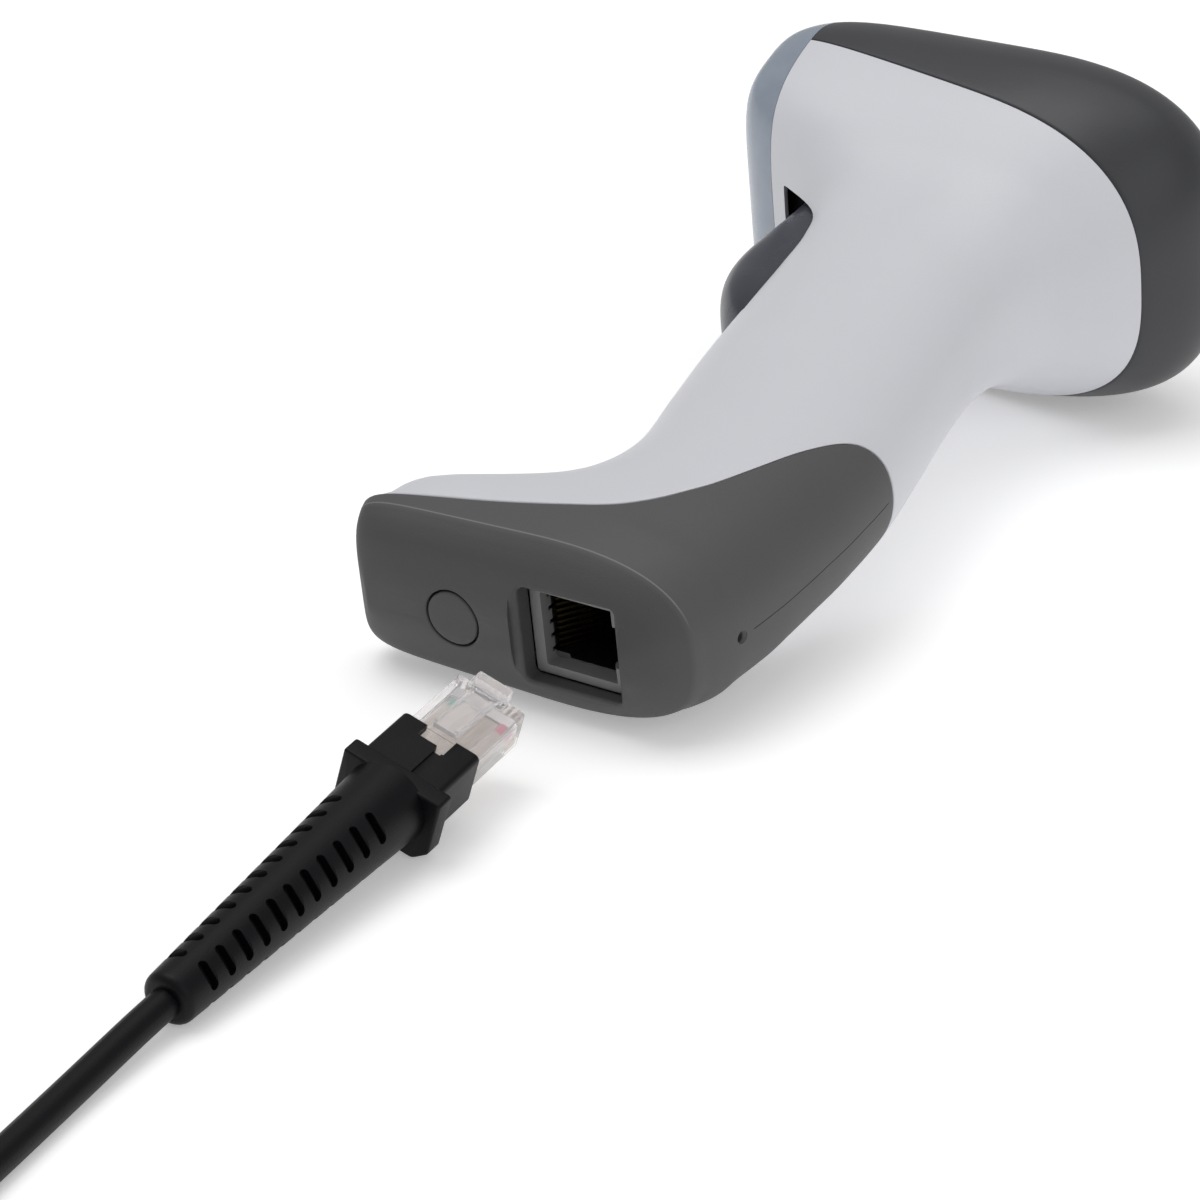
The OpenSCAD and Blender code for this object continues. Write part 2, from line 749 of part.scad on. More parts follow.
module usb_tongue() {
    color([0.92, 0.92, 0.92]) translate([usb_at[0], usb_at[1], 4.3])
        block([23, -5.6, -1.9], [33.2, 5.6, 0]);
}

module usb_contacts() {
    color([0.85, 0.7, 0.35]) translate([usb_at[0], usb_at[1], 4.3]) for (y = [-3.5, -1, 1, 3.5])
        block([25, y - 0.6, 0], [32.4, y + 0.6, 0.25]);
}

main_housing();
front_housing();
top_cover();
front_bezel();
scan_window();
window_gasket();
rubber_boot();
end_plug();
end_screw();
modular_jack();
jack_contacts();
jack_board();
jack_harness();
main_board();
board_parts();
board_screws();
beeper();
trigger();
trigger_pin();
trigger_spring();
switch_body();
switch_plunger();
chassis();
engine_housing();
engine_lens();
engine_lights();
engine_screws();
engine_flex();
status_light();
plug_housing();
plug_latch();
plug_contacts();
plug_wires();
plug_sleeve();
cable();
cable_coil();
cable_tail();
coil_tie();
usb_overmould();
usb_shell();
usb_tongue();
usb_contacts();
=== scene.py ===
"""Handheld barcode scanner lying on its right side, with its unplugged lead beside it.

Lengths are in millimetres in the scanner's design frame (X from the handle's end to the head, Y the
way it scans, Z to its left) until to_row() or place() turns them into metres in the row frame.
"""

import json
import math

import bmesh
import bpy
import numpy as np
from mathutils import Matrix, Vector


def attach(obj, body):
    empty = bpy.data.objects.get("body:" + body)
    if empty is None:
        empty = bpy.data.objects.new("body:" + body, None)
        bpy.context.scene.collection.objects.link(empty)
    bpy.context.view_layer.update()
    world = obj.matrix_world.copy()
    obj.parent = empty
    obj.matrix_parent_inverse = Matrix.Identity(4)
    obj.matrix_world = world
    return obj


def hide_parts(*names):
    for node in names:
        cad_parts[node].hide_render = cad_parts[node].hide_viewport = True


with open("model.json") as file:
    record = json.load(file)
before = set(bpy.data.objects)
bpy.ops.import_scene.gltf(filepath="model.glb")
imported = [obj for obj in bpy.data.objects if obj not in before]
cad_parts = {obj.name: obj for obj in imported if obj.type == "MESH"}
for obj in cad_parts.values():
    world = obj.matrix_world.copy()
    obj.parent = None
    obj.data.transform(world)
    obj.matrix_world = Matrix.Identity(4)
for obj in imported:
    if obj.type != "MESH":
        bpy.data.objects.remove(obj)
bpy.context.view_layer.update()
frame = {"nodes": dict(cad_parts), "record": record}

MM = 0.001
COLUMNS = 240

# ---- sizes repeated from the CAD source ----

HEAD_HALF_W = 31.0
END_HALF_W = 15.4
WALL = 2.3
BOOT_T = 2.0
SEAM = 0.1
HEAD_REST_X = 152.0
END_REST_X = 14.0
END_REST_W = END_HALF_W + 0.25
MIDDLE = (84.24, 12.69)
TILT = math.atan((HEAD_HALF_W - END_REST_W) / (HEAD_REST_X - END_REST_X))
LIFT = END_REST_W * math.cos(TILT) - END_REST_X * math.sin(TILT) + 0.08

# cross-sections: x, rear y, front y, half width, rear roundness, front roundness, narrowing to the front
SKIN = [
    (0, -9, 37, 2.2, 6, 6, 0),
    (0.6, -11.4, 38.2, 6.2, 3.6, 6, 0.02),
    (2, -14.3, 39.8, 10.2, 3, 7, 0.04),
    (4, -16.4, 41.2, 12.6, 2.8, 8, 0.06),
    (5.6, -17.5, 41.9, 13.8, 2.7, 8.5, 0.08),
    (6.4, -18, 42.2, 14.25, 2.65, 8.5, 0.085),
    (7.2, -18.4, 42.5, 14.48, 2.6, 8.5, 0.09),
    (8.5, -18.85, 42.8, 14.69, 2.57, 8.3, 0.1),
    (10.3, -19.6, 41, 14.95, 2.54, 8, 0.11),
    (13.5, -20.5, 40.3, 15.4, 2.5, 7.5, 0.12),
    (16, -20.9, 39.2, 15.4, 2.4, 7, 0.12),
    (18, -21.1, 37, 15.4, 2.35, 6, 0.12),
    (20, -21.3, 33.8, 15.4, 2.3, 5, 0.12),
    (22.5, -21.5, 29.4, 15.4, 2.25, 4, 0.11),
    (25.5, -21.7, 25.5, 15.4, 2.2, 3.2, 0.1),
    (30, -21.8, 21.8, 15.3, 2.15, 2.7, 0.07),
    (37, -21.8, 19.4, 15.3, 2.1, 2.4, 0.05),
    (46, -21.6, 19.2, 15.3, 2.1, 2.3, 0.04),
    (60, -20.4, 22.3, 15.3, 2.1, 2.3, 0.04),
    (75, -17.4, 25.5, 15.3, 2.1, 2.3, 0.04),
    (90, -14, 27.9, 15.6, 2.1, 2.3, 0.04),
    (105, -11, 29.6, 16.3, 2.2, 2.4, 0.04),
    (116, -10.6, 31, 17, 2.3, 2.6, 0.03),
    (124, -12.8, 33.6, 18.4, 2.4, 3, 0.02),
    (130, -17.4, 41, 20.9, 2.6, 4, 0),
    (135, -22.2, 50.5, 24.2, 2.7, 5.5, 0),
    (140, -26, 55.2, 27.2, 2.8, 6.5, 0),
    (147, -29.5, 56, 30, 3, 7, 0),
    (153, -30.5, 55.6, 31, 3, 7, 0),
    (160, -28.5, 53.5, 29.4, 2.9, 6, 0),
    (165, -22.5, 48.5, 25, 2.6, 4.5, 0),
    (168, -12, 38, 16, 2.3, 3, 0),
]
BOOT_EDGE = [
    (-30, 60), (-20, 59.5), (-17.5, 57.5), (-15.5, 54), (-13, 46.5), (-10, 36.5), (-7, 28.5),
    (-3, 22), (2, 17.4), (9, 14.5), (18, 12.3), (28, 10.6), (38, 9.2), (50, 8.5),
]
LEVER = [
    (89.5, 20.5, 25.5, 5, 3, 2.2, 0),
    (91, 20.5, 28.6, 7.4, 3.5, 2.3, 0),
    (94, 20.5, 32.2, 8.7, 4, 2.4, 0),
    (98.5, 20.8, 35.6, 9.3, 4, 2.5, 0),
    (104, 21.2, 38.2, 9.3, 4, 2.5, 0),
    (110, 21.8, 39.5, 9.3, 4, 2.5, 0),
    (117, 22.4, 39.8, 9.3, 4, 2.5, 0),
    (125, 23.2, 39.8, 9.3, 4, 2.5, 0),
    (133, 24, 40.2, 9.3, 4, 2.5, 0),
]
END_ROUND = 13.5
HEAD_ROUND = 153.0
SEAM_X, SEAM_SLOPE, NOSE_Y = 141.0, 0.16, 45.5
JACK_FRONT, JACK_BACK = 4.0, 22.0
JACK_Y, JACK_HALF_Z = (-7.3, 9.4), 8.0
RECESS_Y, RECESS_HALF_Z, RECESS_LIP = (-7.4, 9.5), 8.1, 0.8
SOCKET_Y, SOCKET_HALF_Z, SOCKET_DEPTH = (-4.3, 4.9), 5.95, 17.0
LATCH_HALF_W, LATCH_DEPTH, CONTACT_SLOT_Y = 3.6, 2.3, 7.4
RELEASE_X, RELEASE_Y, RELEASE_R = 14.6, -17.8, 0.6
PINS, PIN_PITCH = 10, 1.02
DISC_Y, DISC_R = 21.3, 4.5
SPINE_X, SPINE_HALF_W = (31.0, 85.0), 7.5
SLOT_X, SLOT_Y, SLOT_HALF_W = (88.1, 134.5), (10.0, 42.0), 9.9
WINDOW_X, WINDOW_HALF_W = (140.0, 158.0), 15.5
LIGHT_Y, LIGHT_R = -8.0, 3.6
PIVOT = (130.0, 28.0)
PIN_HOLE_R = 1.3
SWITCH_X, RIB_Y = 118.0, 6.8

PLUG_FRONT = (-100.2, -9.3, 11.05)
PLUG_TURN = (2.5, 5.2, 19.8)
PLUG_W, PLUG_H, PLUG_REACH, PLUG_BODY = 11.7, 6.5, 13.5, 21.5
COLLAR = (9.9, 13.2, 9.0)
FLANGE_T, FLANGE_W, FLANGE_Z, FLANGE_CUT = 3.2, 16.4, (-6.8, 4.9), 2.2
NOTCH_Y, NOTCH_BACK = (-2.5, 2.6), -17.2
LATCH_Y = -0.3
RELIEF_LEN, RELIEF_D = 51.0, (12.8, 7.9)
RELIEF_START = PLUG_REACH + COLLAR[0] + FLANGE_T
RELIEF_END = RELIEF_START + RELIEF_LEN
CABLE_D = 4.5
ROUTE = [
    (-190, -13.4, 2.9), (-197, -14.1, 2.5), (-205, -15.1, 2.3), (-214, -16.4, 2.3), (-224, -17.8, 2.3),
    (-234, -18.9, 2.3), (-243, -19.6, 2.3), (-252, -20.1, 2.3), (-262, -20.4, 2.3),
]
COIL_CENTRE = (-276.0, -52.0)
COIL_RADII = (31.75, 27.25, 22.75, 18.25)
TAIL = [(-262, -84.1, 5.9), (-255, -84.3, 4.9), (-248, -84.3, 4.3)]
USB_AT = (-248.0, -84.3)


# ---- placing ----

def to_row(points):
    """Design frame in millimetres to row frame in metres."""
    p = np.asarray(points, float)
    c, s = math.cos(TILT), math.sin(TILT)
    x = c * p[..., 0] - s * p[..., 2] - MIDDLE[0]
    z = s * p[..., 0] + c * p[..., 2] + LIFT
    return np.stack([x, p[..., 1] - MIDDLE[1], z], -1) * MM


def plug_matrix():
    """Turn of the plug frame: heading, then nose up, then roll."""
    heading, pitch, roll = (math.radians(a) for a in PLUG_TURN)
    turn = Matrix.Rotation(heading, 3, "Z") @ Matrix.Rotation(-pitch, 3, "Y") @ Matrix.Rotation(roll, 3, "X")
    return np.array(turn)


def from_plug(points):
    """Plug frame (X out of its nose, Z on its latch side) in millimetres to row frame in metres."""
    return (np.asarray(points, float) @ plug_matrix().T + np.array(PLUG_FRONT)) * MM


def in_place(points):
    """Row frame in millimetres to metres."""
    return np.asarray(points, float) * MM


# ---- lofts ----

class Loft:
    """A solid of smooth cross-sections square to X, with either end rounded over.

    Columns of points fan out from a centre line, whose y is the section's middle unless centre says
    otherwise: centre(x, middle).
    """

    def __init__(self, rows, low=None, high=None, centre=None):
        self.rows = np.array(rows, float)
        self.centre = centre or (lambda x, middle: middle)
        self.low, self.high = low, high
        self.first, self.last = self.rows[0, 0], self.rows[-1, 0]
        self.keys = self.station(self.rows[:, 0])
        n = len(self.keys)
        before, after = np.maximum(np.arange(n) - 1, 0), np.minimum(np.arange(n) + 1, n - 1)
        self.slopes = (self.rows[after] - self.rows[before]) / (self.keys[after] - self.keys[before])[:, None]

    def station(self, x):
        """A length along the skin, which runs on smoothly where the ends round over."""
        x = np.asarray(x, float)
        out = x.copy()
        if self.low is not None:
            r = self.low - self.first
            near = np.clip(1 - (x - self.first) / r, -1, 1)
            out = np.where(x < self.low, self.low + r * (np.arccos(near) - math.pi / 2), out)
        if self.high is not None:
            r = self.last - self.high
            near = np.clip((x - self.high) / r, -1, 1)
            out = np.where(x > self.high, self.high + r * np.arcsin(near), out)
        return out

    def x_at(self, s):
        """The x of a station."""
        s = np.asarray(s, float)
        x = s.copy()
        if self.low is not None:
            r = self.low - self.first
            x = np.where(s < self.low, self.first + r * (1 - np.cos((s - self.low) / r + math.pi / 2)), x)
        if self.high is not None:
            r = self.last - self.high
            turned = np.clip((s - self.high) / r, 0, math.pi / 2)
            x = np.where(s > self.high, self.high + r * np.sin(turned), x)
        return x

    def value(self, x, k):
        """Smooth curve through column k at x, as the CAD source draws it."""
        s = self.station(x)
        i = np.clip(np.searchsorted(self.keys, s, side="right") - 1, 0, len(self.keys) - 2)
        h = self.keys[i + 1] - self.keys[i]
        t = np.clip((s - self.keys[i]) / h, 0, 1)
        v, m = self.rows[:, k], self.slopes[:, k]
        return ((2 * t ** 3 - 3 * t ** 2 + 1) * v[i] + (t ** 3 - 2 * t ** 2 + t) * m[i] * h
                + (3 * t ** 2 - 2 * t ** 3) * v[i + 1] + (t ** 3 - t ** 2) * m[i + 1] * h)

    def point(self, x, turn, inset=0.0, shrink=1.0):
        """Points on the skin at x and turn (0 at the front, half a turn at the rear)."""
        x, turn = np.broadcast_arrays(np.asarray(x, float), turn)
        rear, front = self.value(x, 1) + inset, self.value(x, 2) - inset
        half_w = np.maximum(self.value(x, 3) - inset, 0.02)
        middle, half = (rear + front) / 2, (front - rear) / 2
        n_rear, n_front, narrowing = (self.value(x, k) for k in (4, 5, 6))
        y0 = self.centre(x, middle)
        c, s = np.cos(turn), np.sin(turn)
        near, far = np.zeros(x.shape), np.full(x.shape, 90.0)
        for _ in range(34):
            r = (near + far) / 2
            forward = (y0 + r * c - middle) / half
            across = r * s / (half_w * np.maximum(1 - narrowing * forward, 0.1))
            n = np.where(forward > 0, n_front, n_rear)
            hit = np.abs(forward) ** n + np.abs(across) ** n < 1
            near, far = np.where(hit, r, near), np.where(hit, far, r)
        return np.stack([x, y0 + shrink * near * c, shrink * near * s], -1)

    def inside(self, x, y, z):
        """Whether a point is within the skin."""
        rear, front, half_w = self.value(x, 1), self.value(x, 2), self.value(x, 3)
        forward = (y - (rear + front) / 2) / ((front - rear) / 2)
        across = z / (half_w * (1 - self.value(x, 6) * forward))
        n = np.where(forward > 0, self.value(x, 5), self.value(x, 4))
        return np.abs(forward) ** n + np.abs(across) ** n < 1

    def end_x(self, y, z):
        """Where the low end's skin is met at y, z."""
        y, z = np.broadcast_arrays(np.asarray(y, float), z)
        lo, hi = np.full(y.shape, self.first), np.full(y.shape, self.low)
        for _ in range(30):
            mid = (lo + hi) / 2
            hit = self.inside(mid, y, z)
            hi, lo = np.where(hit, mid, hi), np.where(hit, lo, mid)
        return hi

    def meet(self, turn, value, lo, hi):
        """Where each column first has value(x, y) above 0, between lo and hi."""
        lo, hi = np.full(len(turn), float(lo)), np.full(len(turn), float(hi))
        for _ in range(30):
            mid = (lo + hi) / 2
            hit = value(mid, self.point(mid, turn)[:, 1]) > 0
            hi, lo = np.where(hit, mid, hi), np.where(hit, lo, mid)
        return (lo + hi) / 2


def boot_edge(y):
    """X of the boot's upper edge at y."""
    edge = np.array(BOOT_EDGE, float)
    n = len(edge)
    a, b = np.maximum(np.arange(n) - 1, 0), np.minimum(np.arange(n) + 1, n - 1)
    m = (edge[b, 1] - edge[a, 1]) / (edge[b, 0] - edge[a, 0])
    i = np.clip(np.searchsorted(edge[:, 0], y, side="right") - 1, 0, n - 2)
    h = edge[i + 1, 0] - edge[i, 0]
    t = np.clip((y - edge[i, 0]) / h, 0, 1)
    return ((2 * t ** 3 - 3 * t ** 2 + 1) * edge[i, 1] + (t ** 3 - 2 * t ** 2 + t) * m[i] * h
            + (3 * t ** 2 - 2 * t ** 3) * edge[i + 1, 1] + (t ** 3 - t ** 2) * m[i + 1] * h)


# ---- meshes ----

def make_object(name, verts, faces):
    """A linked mesh object from points in metres."""
    mesh = bpy.data.meshes.new(name)
    mesh.from_pydata([tuple(v) for v in verts], [], faces)
    obj = bpy.data.objects.new(name, mesh)
    bpy.context.scene.collection.objects.link(obj)
    return obj


def clean(obj, merge=2e-6):
    """Joins doubled points, drops empty faces and points the faces outwards."""
    bm = bmesh.new()
    bm.from_mesh(obj.data)
    bmesh.ops.remove_doubles(bm, verts=bm.verts, dist=merge)
    bmesh.ops.dissolve_degenerate(bm, edges=bm.edges, dist=merge / 2)
    bmesh.ops.recalc_face_normals(bm, faces=bm.faces)
    bm.to_mesh(obj.data)
    bm.free()
    return obj


def ring_mesh(name, rows, place, closed=False, caps=True):
    """Surface through rows of closed outlines.

    closed joins the last row to the first, and caps fills both ends.
    """
    rows = np.asarray(rows, float)
    count, columns = rows.shape[:2]
    verts = place(rows.reshape(-1, 3))
    faces = []
    for i in range(count if closed else count - 1):
        a, b = i * columns, (i + 1) % count * columns
        for j in range(columns):
            k = (j + 1) % columns
            faces.append((a + j, a + k, b + k, b + j))
    if caps and not closed:
        faces.append(tuple(range(columns)))
        faces.append(tuple(reversed(range((count - 1) * columns, count * columns))))
    return clean(make_object(name, verts, faces))


def smooth_shade(obj, angle=32.0):
    """Smooth shading, with edges sharper than angle (in degrees) kept sharp."""
    obj.data.shade_smooth()
    obj.data.set_sharp_from_angle(angle=math.radians(angle))
    return obj


def boolean(obj, cutter, operation="DIFFERENCE"):
    """Combines obj with cutter and removes cutter."""
    mod = obj.modifiers.new("cut", "BOOLEAN")
    mod.object = cutter
    mod.operation = operation
    mod.solver = "MANIFOLD"
    apply_modifiers(obj)
    bpy.data.objects.remove(cutter)
    return obj


def apply_modifiers(obj):
    """Replaces the mesh with the one that its modifiers make."""
    graph = bpy.context.evaluated_depsgraph_get()
    mesh = bpy.data.meshes.new_from_object(obj.evaluated_get(graph))
    obj.modifiers.clear()
    obj.data = mesh


def round_rect(half_a, half_b, r, steps=6):
    """Outline of a rectangle with round corners, anticlockwise."""
    out = []
    for k, (sa, sb) in enumerate(((1, 1), (-1, 1), (-1, -1), (1, -1))):
        for i in range(steps + 1):
            t = math.radians(90 * k + 90 * i / steps)
            out.append((sa * (half_a - r) + r * math.cos(t), sb * (half_b - r) + r * math.sin(t)))
    return np.array(out)


def circle(r, count=48):
    """Outline of a circle."""
    t = np.linspace(0, 2 * math.pi, count, endpoint=False)
    return np.stack([r * np.cos(t), r * np.sin(t)], -1)


def prism_rows(outline, stations):
    """Rows of an outline drawn at each station: (x, grow), grow moving it outwards."""
    rows = []
    centre = outline.mean(0)
    reach = np.abs(outline - centre).max(0)
    for x, grow in stations:
        scaled = centre + (outline - centre) * (1 + grow / reach)
        rows.append(np.column_stack([np.full(len(scaled), x), scaled]))
    return np.array(rows)


def rounded_stations(a, b, r, steps=4):
    """Stations of a bar along X from a to b whose end edges have radius r."""
    arc = [math.radians(90 * i / steps) for i in range(steps + 1)]
    start = [(a + r * (1 - math.sin(t)), -r * (1 - math.cos(t))) for t in reversed(arc)]
    end = [(b - r * (1 - math.sin(t)), -r * (1 - math.cos(t))) for t in arc]
    return start + end


def bar(name, a, b, half_y, half_z, corner, edge, place, y=0.0, z=0.0):
    """Bar along X with rounded corners and edges."""
    outline = round_rect(half_y, half_z, corner) + np.array([y, z])
    return ring_mesh(name, prism_rows(outline, rounded_stations(a, b, edge)), place)


def shell(name, loft, turn, start, end, thick, rim=0.3, step=1.1, cap=None):
    """Thin moulding of a loft from start to end (one x per column), closed over at cap ("low" or "high")."""
    quarter = [math.radians(22.5 * i) for i in range(5)]
    length = float(loft.station(end).max() - loft.station(start).min())
    ones = np.ones(len(turn))

    def skin_rows(x0, x1, inset, every):
        """Rows from x0 to x1, a step times every apart."""
        s0, s1 = loft.station(x0), loft.station(x1)
        return [loft.point(loft.x_at(s0 + (s1 - s0) * f), turn, inset)
                for f in np.linspace(0, 1, int(length / step / every) + 3)]

    def rim_rows(x, into):
        """Round the rim at x from the outer skin inwards; the moulding lies on the side of into."""
        return [loft.point(x + into * rim * (1 - math.sin(t)), turn, rim * (1 - math.cos(t)))
                for t in quarter]

    if cap is None:
        rows = rim_rows(start, 1)[::-1] + skin_rows(start + rim, end - rim, 0, 1) + rim_rows(end, -1)
        rows += skin_rows(end, start, thick, 2)
        return ring_mesh(name, rows, to_row, closed=True)
    if cap == "low":
        pole, inner_pole, edge, into = loft.first * ones, (loft.first + thick) * ones, end, -1
    else:
        pole, inner_pole, edge, into = loft.last * ones, (loft.last - thick) * ones, start, 1
    rows = [loft.point(pole, turn, 0, k) for k in (0, 0.25, 0.5, 0.75)]
    rows += skin_rows(pole, edge + into * rim, 0, 1) + rim_rows(edge, into)
    rows += skin_rows(edge, inner_pole, thick, 2) + [loft.point(inner_pole, turn, thick, k) for k in (0.5, 0)]
    return ring_mesh(name, rows, to_row, caps=False)


def solid(name, loft, turn, start, end, inset):
    """The space inside a loft from start to end, drawn in by inset."""
    rows = [loft.point(np.full(len(turn), x), turn, inset) for x in np.linspace(start, end, 24)]
    return ring_mesh(name, rows, to_row)


def box(name, low, high, place=to_row, corner=0.0, edge=0.05):
    """Block between two corners, its long edges rounded by corner and its ends by edge."""
    half = [(b - a) / 2 for a, b in zip(low, high)]
    return bar(name, low[0], high[0], half[1], half[2], max(corner, 0.01), edge, place,
               y=low[1] + half[1], z=low[2] + half[2])


def rod(name, axis, a, b, r, at, place=to_row, count=32, edge=0.0):
    """Cylinder along an axis (0, 1 or 2) from a to b, through at, its ends rounded by edge."""
    rows = prism_rows(circle(r, count), rounded_stations(a, b, edge) if edge else [(a, 0), (b, 0)])
    rows = np.roll(rows, axis, axis=-1) + np.insert(np.array(at, float), axis, 0.0)
    return ring_mesh(name, rows, place)


def grip_centre(x, middle):
    """The grip's middle line, which the foot and its boot keep to although the foot reaches far forwards."""
    f = np.clip((x - 45) / 60, 0, 1)
    blend = f * f * (3 - 2 * f)
    return 1.5 + (middle - 1.5) * blend


skin = Loft(SKIN, low=END_ROUND, high=HEAD_ROUND, centre=grip_centre)
lever = Loft(LEVER, low=98.5)
SWEEP = np.linspace(0, 2 * math.pi, COLUMNS, endpoint=False)
TURNS = SWEEP - 0.4 * np.sin(SWEEP)


# ---- materials ----

def object_place(nodes, links, direction, start, end):
    """Socket that rises from 0 to 1 between two distances (in metres) along a direction."""
    place = nodes.new("ShaderNodeTexCoord")
    along = nodes.new("ShaderNodeVectorMath")
    along.operation = "DOT_PRODUCT"
    along.inputs[1].default_value = tuple(direction)
    links.new(place.outputs["Object"], along.inputs[0])
    rise = nodes.new("ShaderNodeMapRange")
    rise.inputs["From Min"].default_value = start
    rise.inputs["From Max"].default_value = end
    links.new(along.outputs["Value"], rise.inputs["Value"])
    return rise.outputs["Result"]


def mixed(nodes, links, factor, a, b):
    """Colour a where factor is 0 and b where it is 1; a is a socket or a colour."""
    mix = nodes.new("ShaderNodeMix")
    mix.data_type = "RGBA"
    links.new(factor, mix.inputs["Factor"])
    if isinstance(a, tuple):
        mix.inputs["A"].default_value = (*a, 1)
    else:
        links.new(a, mix.inputs["A"])
    mix.inputs["B"].default_value = (*b, 1)
    return mix.outputs["Result"]


def material(name, colour, rough, metallic=0.0, grain=0.0, grain_size=0.3, mottle=0.04, mottle_size=9.0,
             rough_spread=0.05, coat=0.0, transmission=0.0, ior=1.46, sub=0.0, specular=0.5, glow=0.0,
             bands=()):
    """Moulded surface: colour that varies a little, fine grain in its bump, and bands of other colours.

    Each band is a colour and a list of places (direction, start, end) that must all be reached.
    """
    m = bpy.data.materials.new(name)
    m.use_nodes = True
    nodes, links = m.node_tree.nodes, m.node_tree.links
    shader = nodes["Principled BSDF"]
    for socket, value in (("Metallic", metallic), ("Coat Weight", coat), ("Coat Roughness", 0.12),
                          ("Transmission Weight", transmission), ("IOR", ior),
                          ("Specular IOR Level", specular), ("Subsurface Weight", sub),
                          ("Subsurface Scale", 0.002), ("Emission Strength", glow)):
        shader.inputs[socket].default_value = value
    shader.inputs["Emission Color"].default_value = (*colour, 1)
    place = nodes.new("ShaderNodeTexCoord")
    broad = nodes.new("ShaderNodeTexNoise")
    broad.inputs["Scale"].default_value = 1000.0 / mottle_size
    broad.inputs["Detail"].default_value = 3.0
    links.new(place.outputs["Object"], broad.inputs["Vector"])
    dark = tuple(c * (1 - mottle) for c in colour)
    light = tuple(min(c * (1 + mottle), 1) for c in colour)
    tint = mixed(nodes, links, broad.outputs["Fac"], dark, light)
    for band, places in bands:
        reach = object_place(nodes, links, *places[0])
        for direction, start, end in places[1:]:
            both = nodes.new("ShaderNodeMath")
            both.operation = "MULTIPLY"
            links.new(reach, both.inputs[0])
            links.new(object_place(nodes, links, direction, start, end), both.inputs[1])
            reach = both.outputs["Value"]
        tint = mixed(nodes, links, reach, tint, band)
    links.new(tint, shader.inputs["Base Color"])
    spread = nodes.new("ShaderNodeMapRange")
    spread.inputs["To Min"].default_value = max(rough - rough_spread, 0.0)
    spread.inputs["To Max"].default_value = min(rough + rough_spread, 1.0)
    links.new(broad.outputs["Fac"], spread.inputs["Value"])
    links.new(spread.outputs["Result"], shader.inputs["Roughness"])
    if grain:
        fine = nodes.new("ShaderNodeTexNoise")
        fine.inputs["Scale"].default_value = 1000.0 / grain_size
        fine.inputs["Detail"].default_value = 2.0
        links.new(place.outputs["Object"], fine.inputs["Vector"])
        bump = nodes.new("ShaderNodeBump")
        bump.inputs["Strength"].default_value = grain
        bump.inputs["Distance"].default_value = 0.0002
        links.new(fine.outputs["Fac"], bump.inputs["Height"])
        links.new(bump.outputs["Normal"], shader.inputs["Normal"])
    return m


def past(direction, origin, start, end):
    """A place for a band: along a direction from a point in metres, between two distances in millimetres."""
    base = float(np.dot(direction, origin))
    return tuple(direction), base + start * MM, base + end * MM


def socket_painted_shade():
    """Painted shade: the socket is painted near black behind its grey mouth, standing in for the shade deep
    inside it.
    """
    origin = to_row((0, 0, 0))
    return [((0.004, 0.004, 0.004), [past((to_row((1000, 0, 0)) - origin), origin, 6.4, 6.6)])]


def contact_painted_shade():
    """Painted shade: the contacts are painted a dark bronze, standing in for the shade deep inside the
    socket.
    """
    return [((0.03, 0.022, 0.01), [past((1, 0, 0), (0, 0, 0), -92, -90)])]


def boot_painted_light():
    """Painted light: the end is painted a little darker as painted shade, and a fine pale line along its
    crease on the upper side is a painted highlight.
    """
    origin = to_row((0, 0, 0))
    along, up = to_row((1000, 0, 0)) - origin, to_row((0, 0, 1000)) - origin
    # line holds the places of the painted highlight along the upper crease; the first band below is painted
    # shade on the end face
    line = [past(along, origin, 6.26, 6.38), past(-along, origin, -6.58, -6.46), past(up, origin, 5, 9)]
    return [((0.058, 0.057, 0.059), [past(-along, origin, -6.5, -5.5)]), ((0.17, 0.17, 0.172), line)]


def core_bands():
    """The outermost cores are green and pink near the plug's nose."""
    turn, front = plug_matrix(), from_plug((0, 0, 0))
    nose = past(turn[:, 0], front, -3.8, -3.5)
    return [((0.02, 0.5, 0.33), [past(turn[:, 1], front, 2.8, 3.0), nose]),
            ((0.85, 0.18, 0.3), [past(-turn[:, 1], front, 3.1, 3.3), nose])]


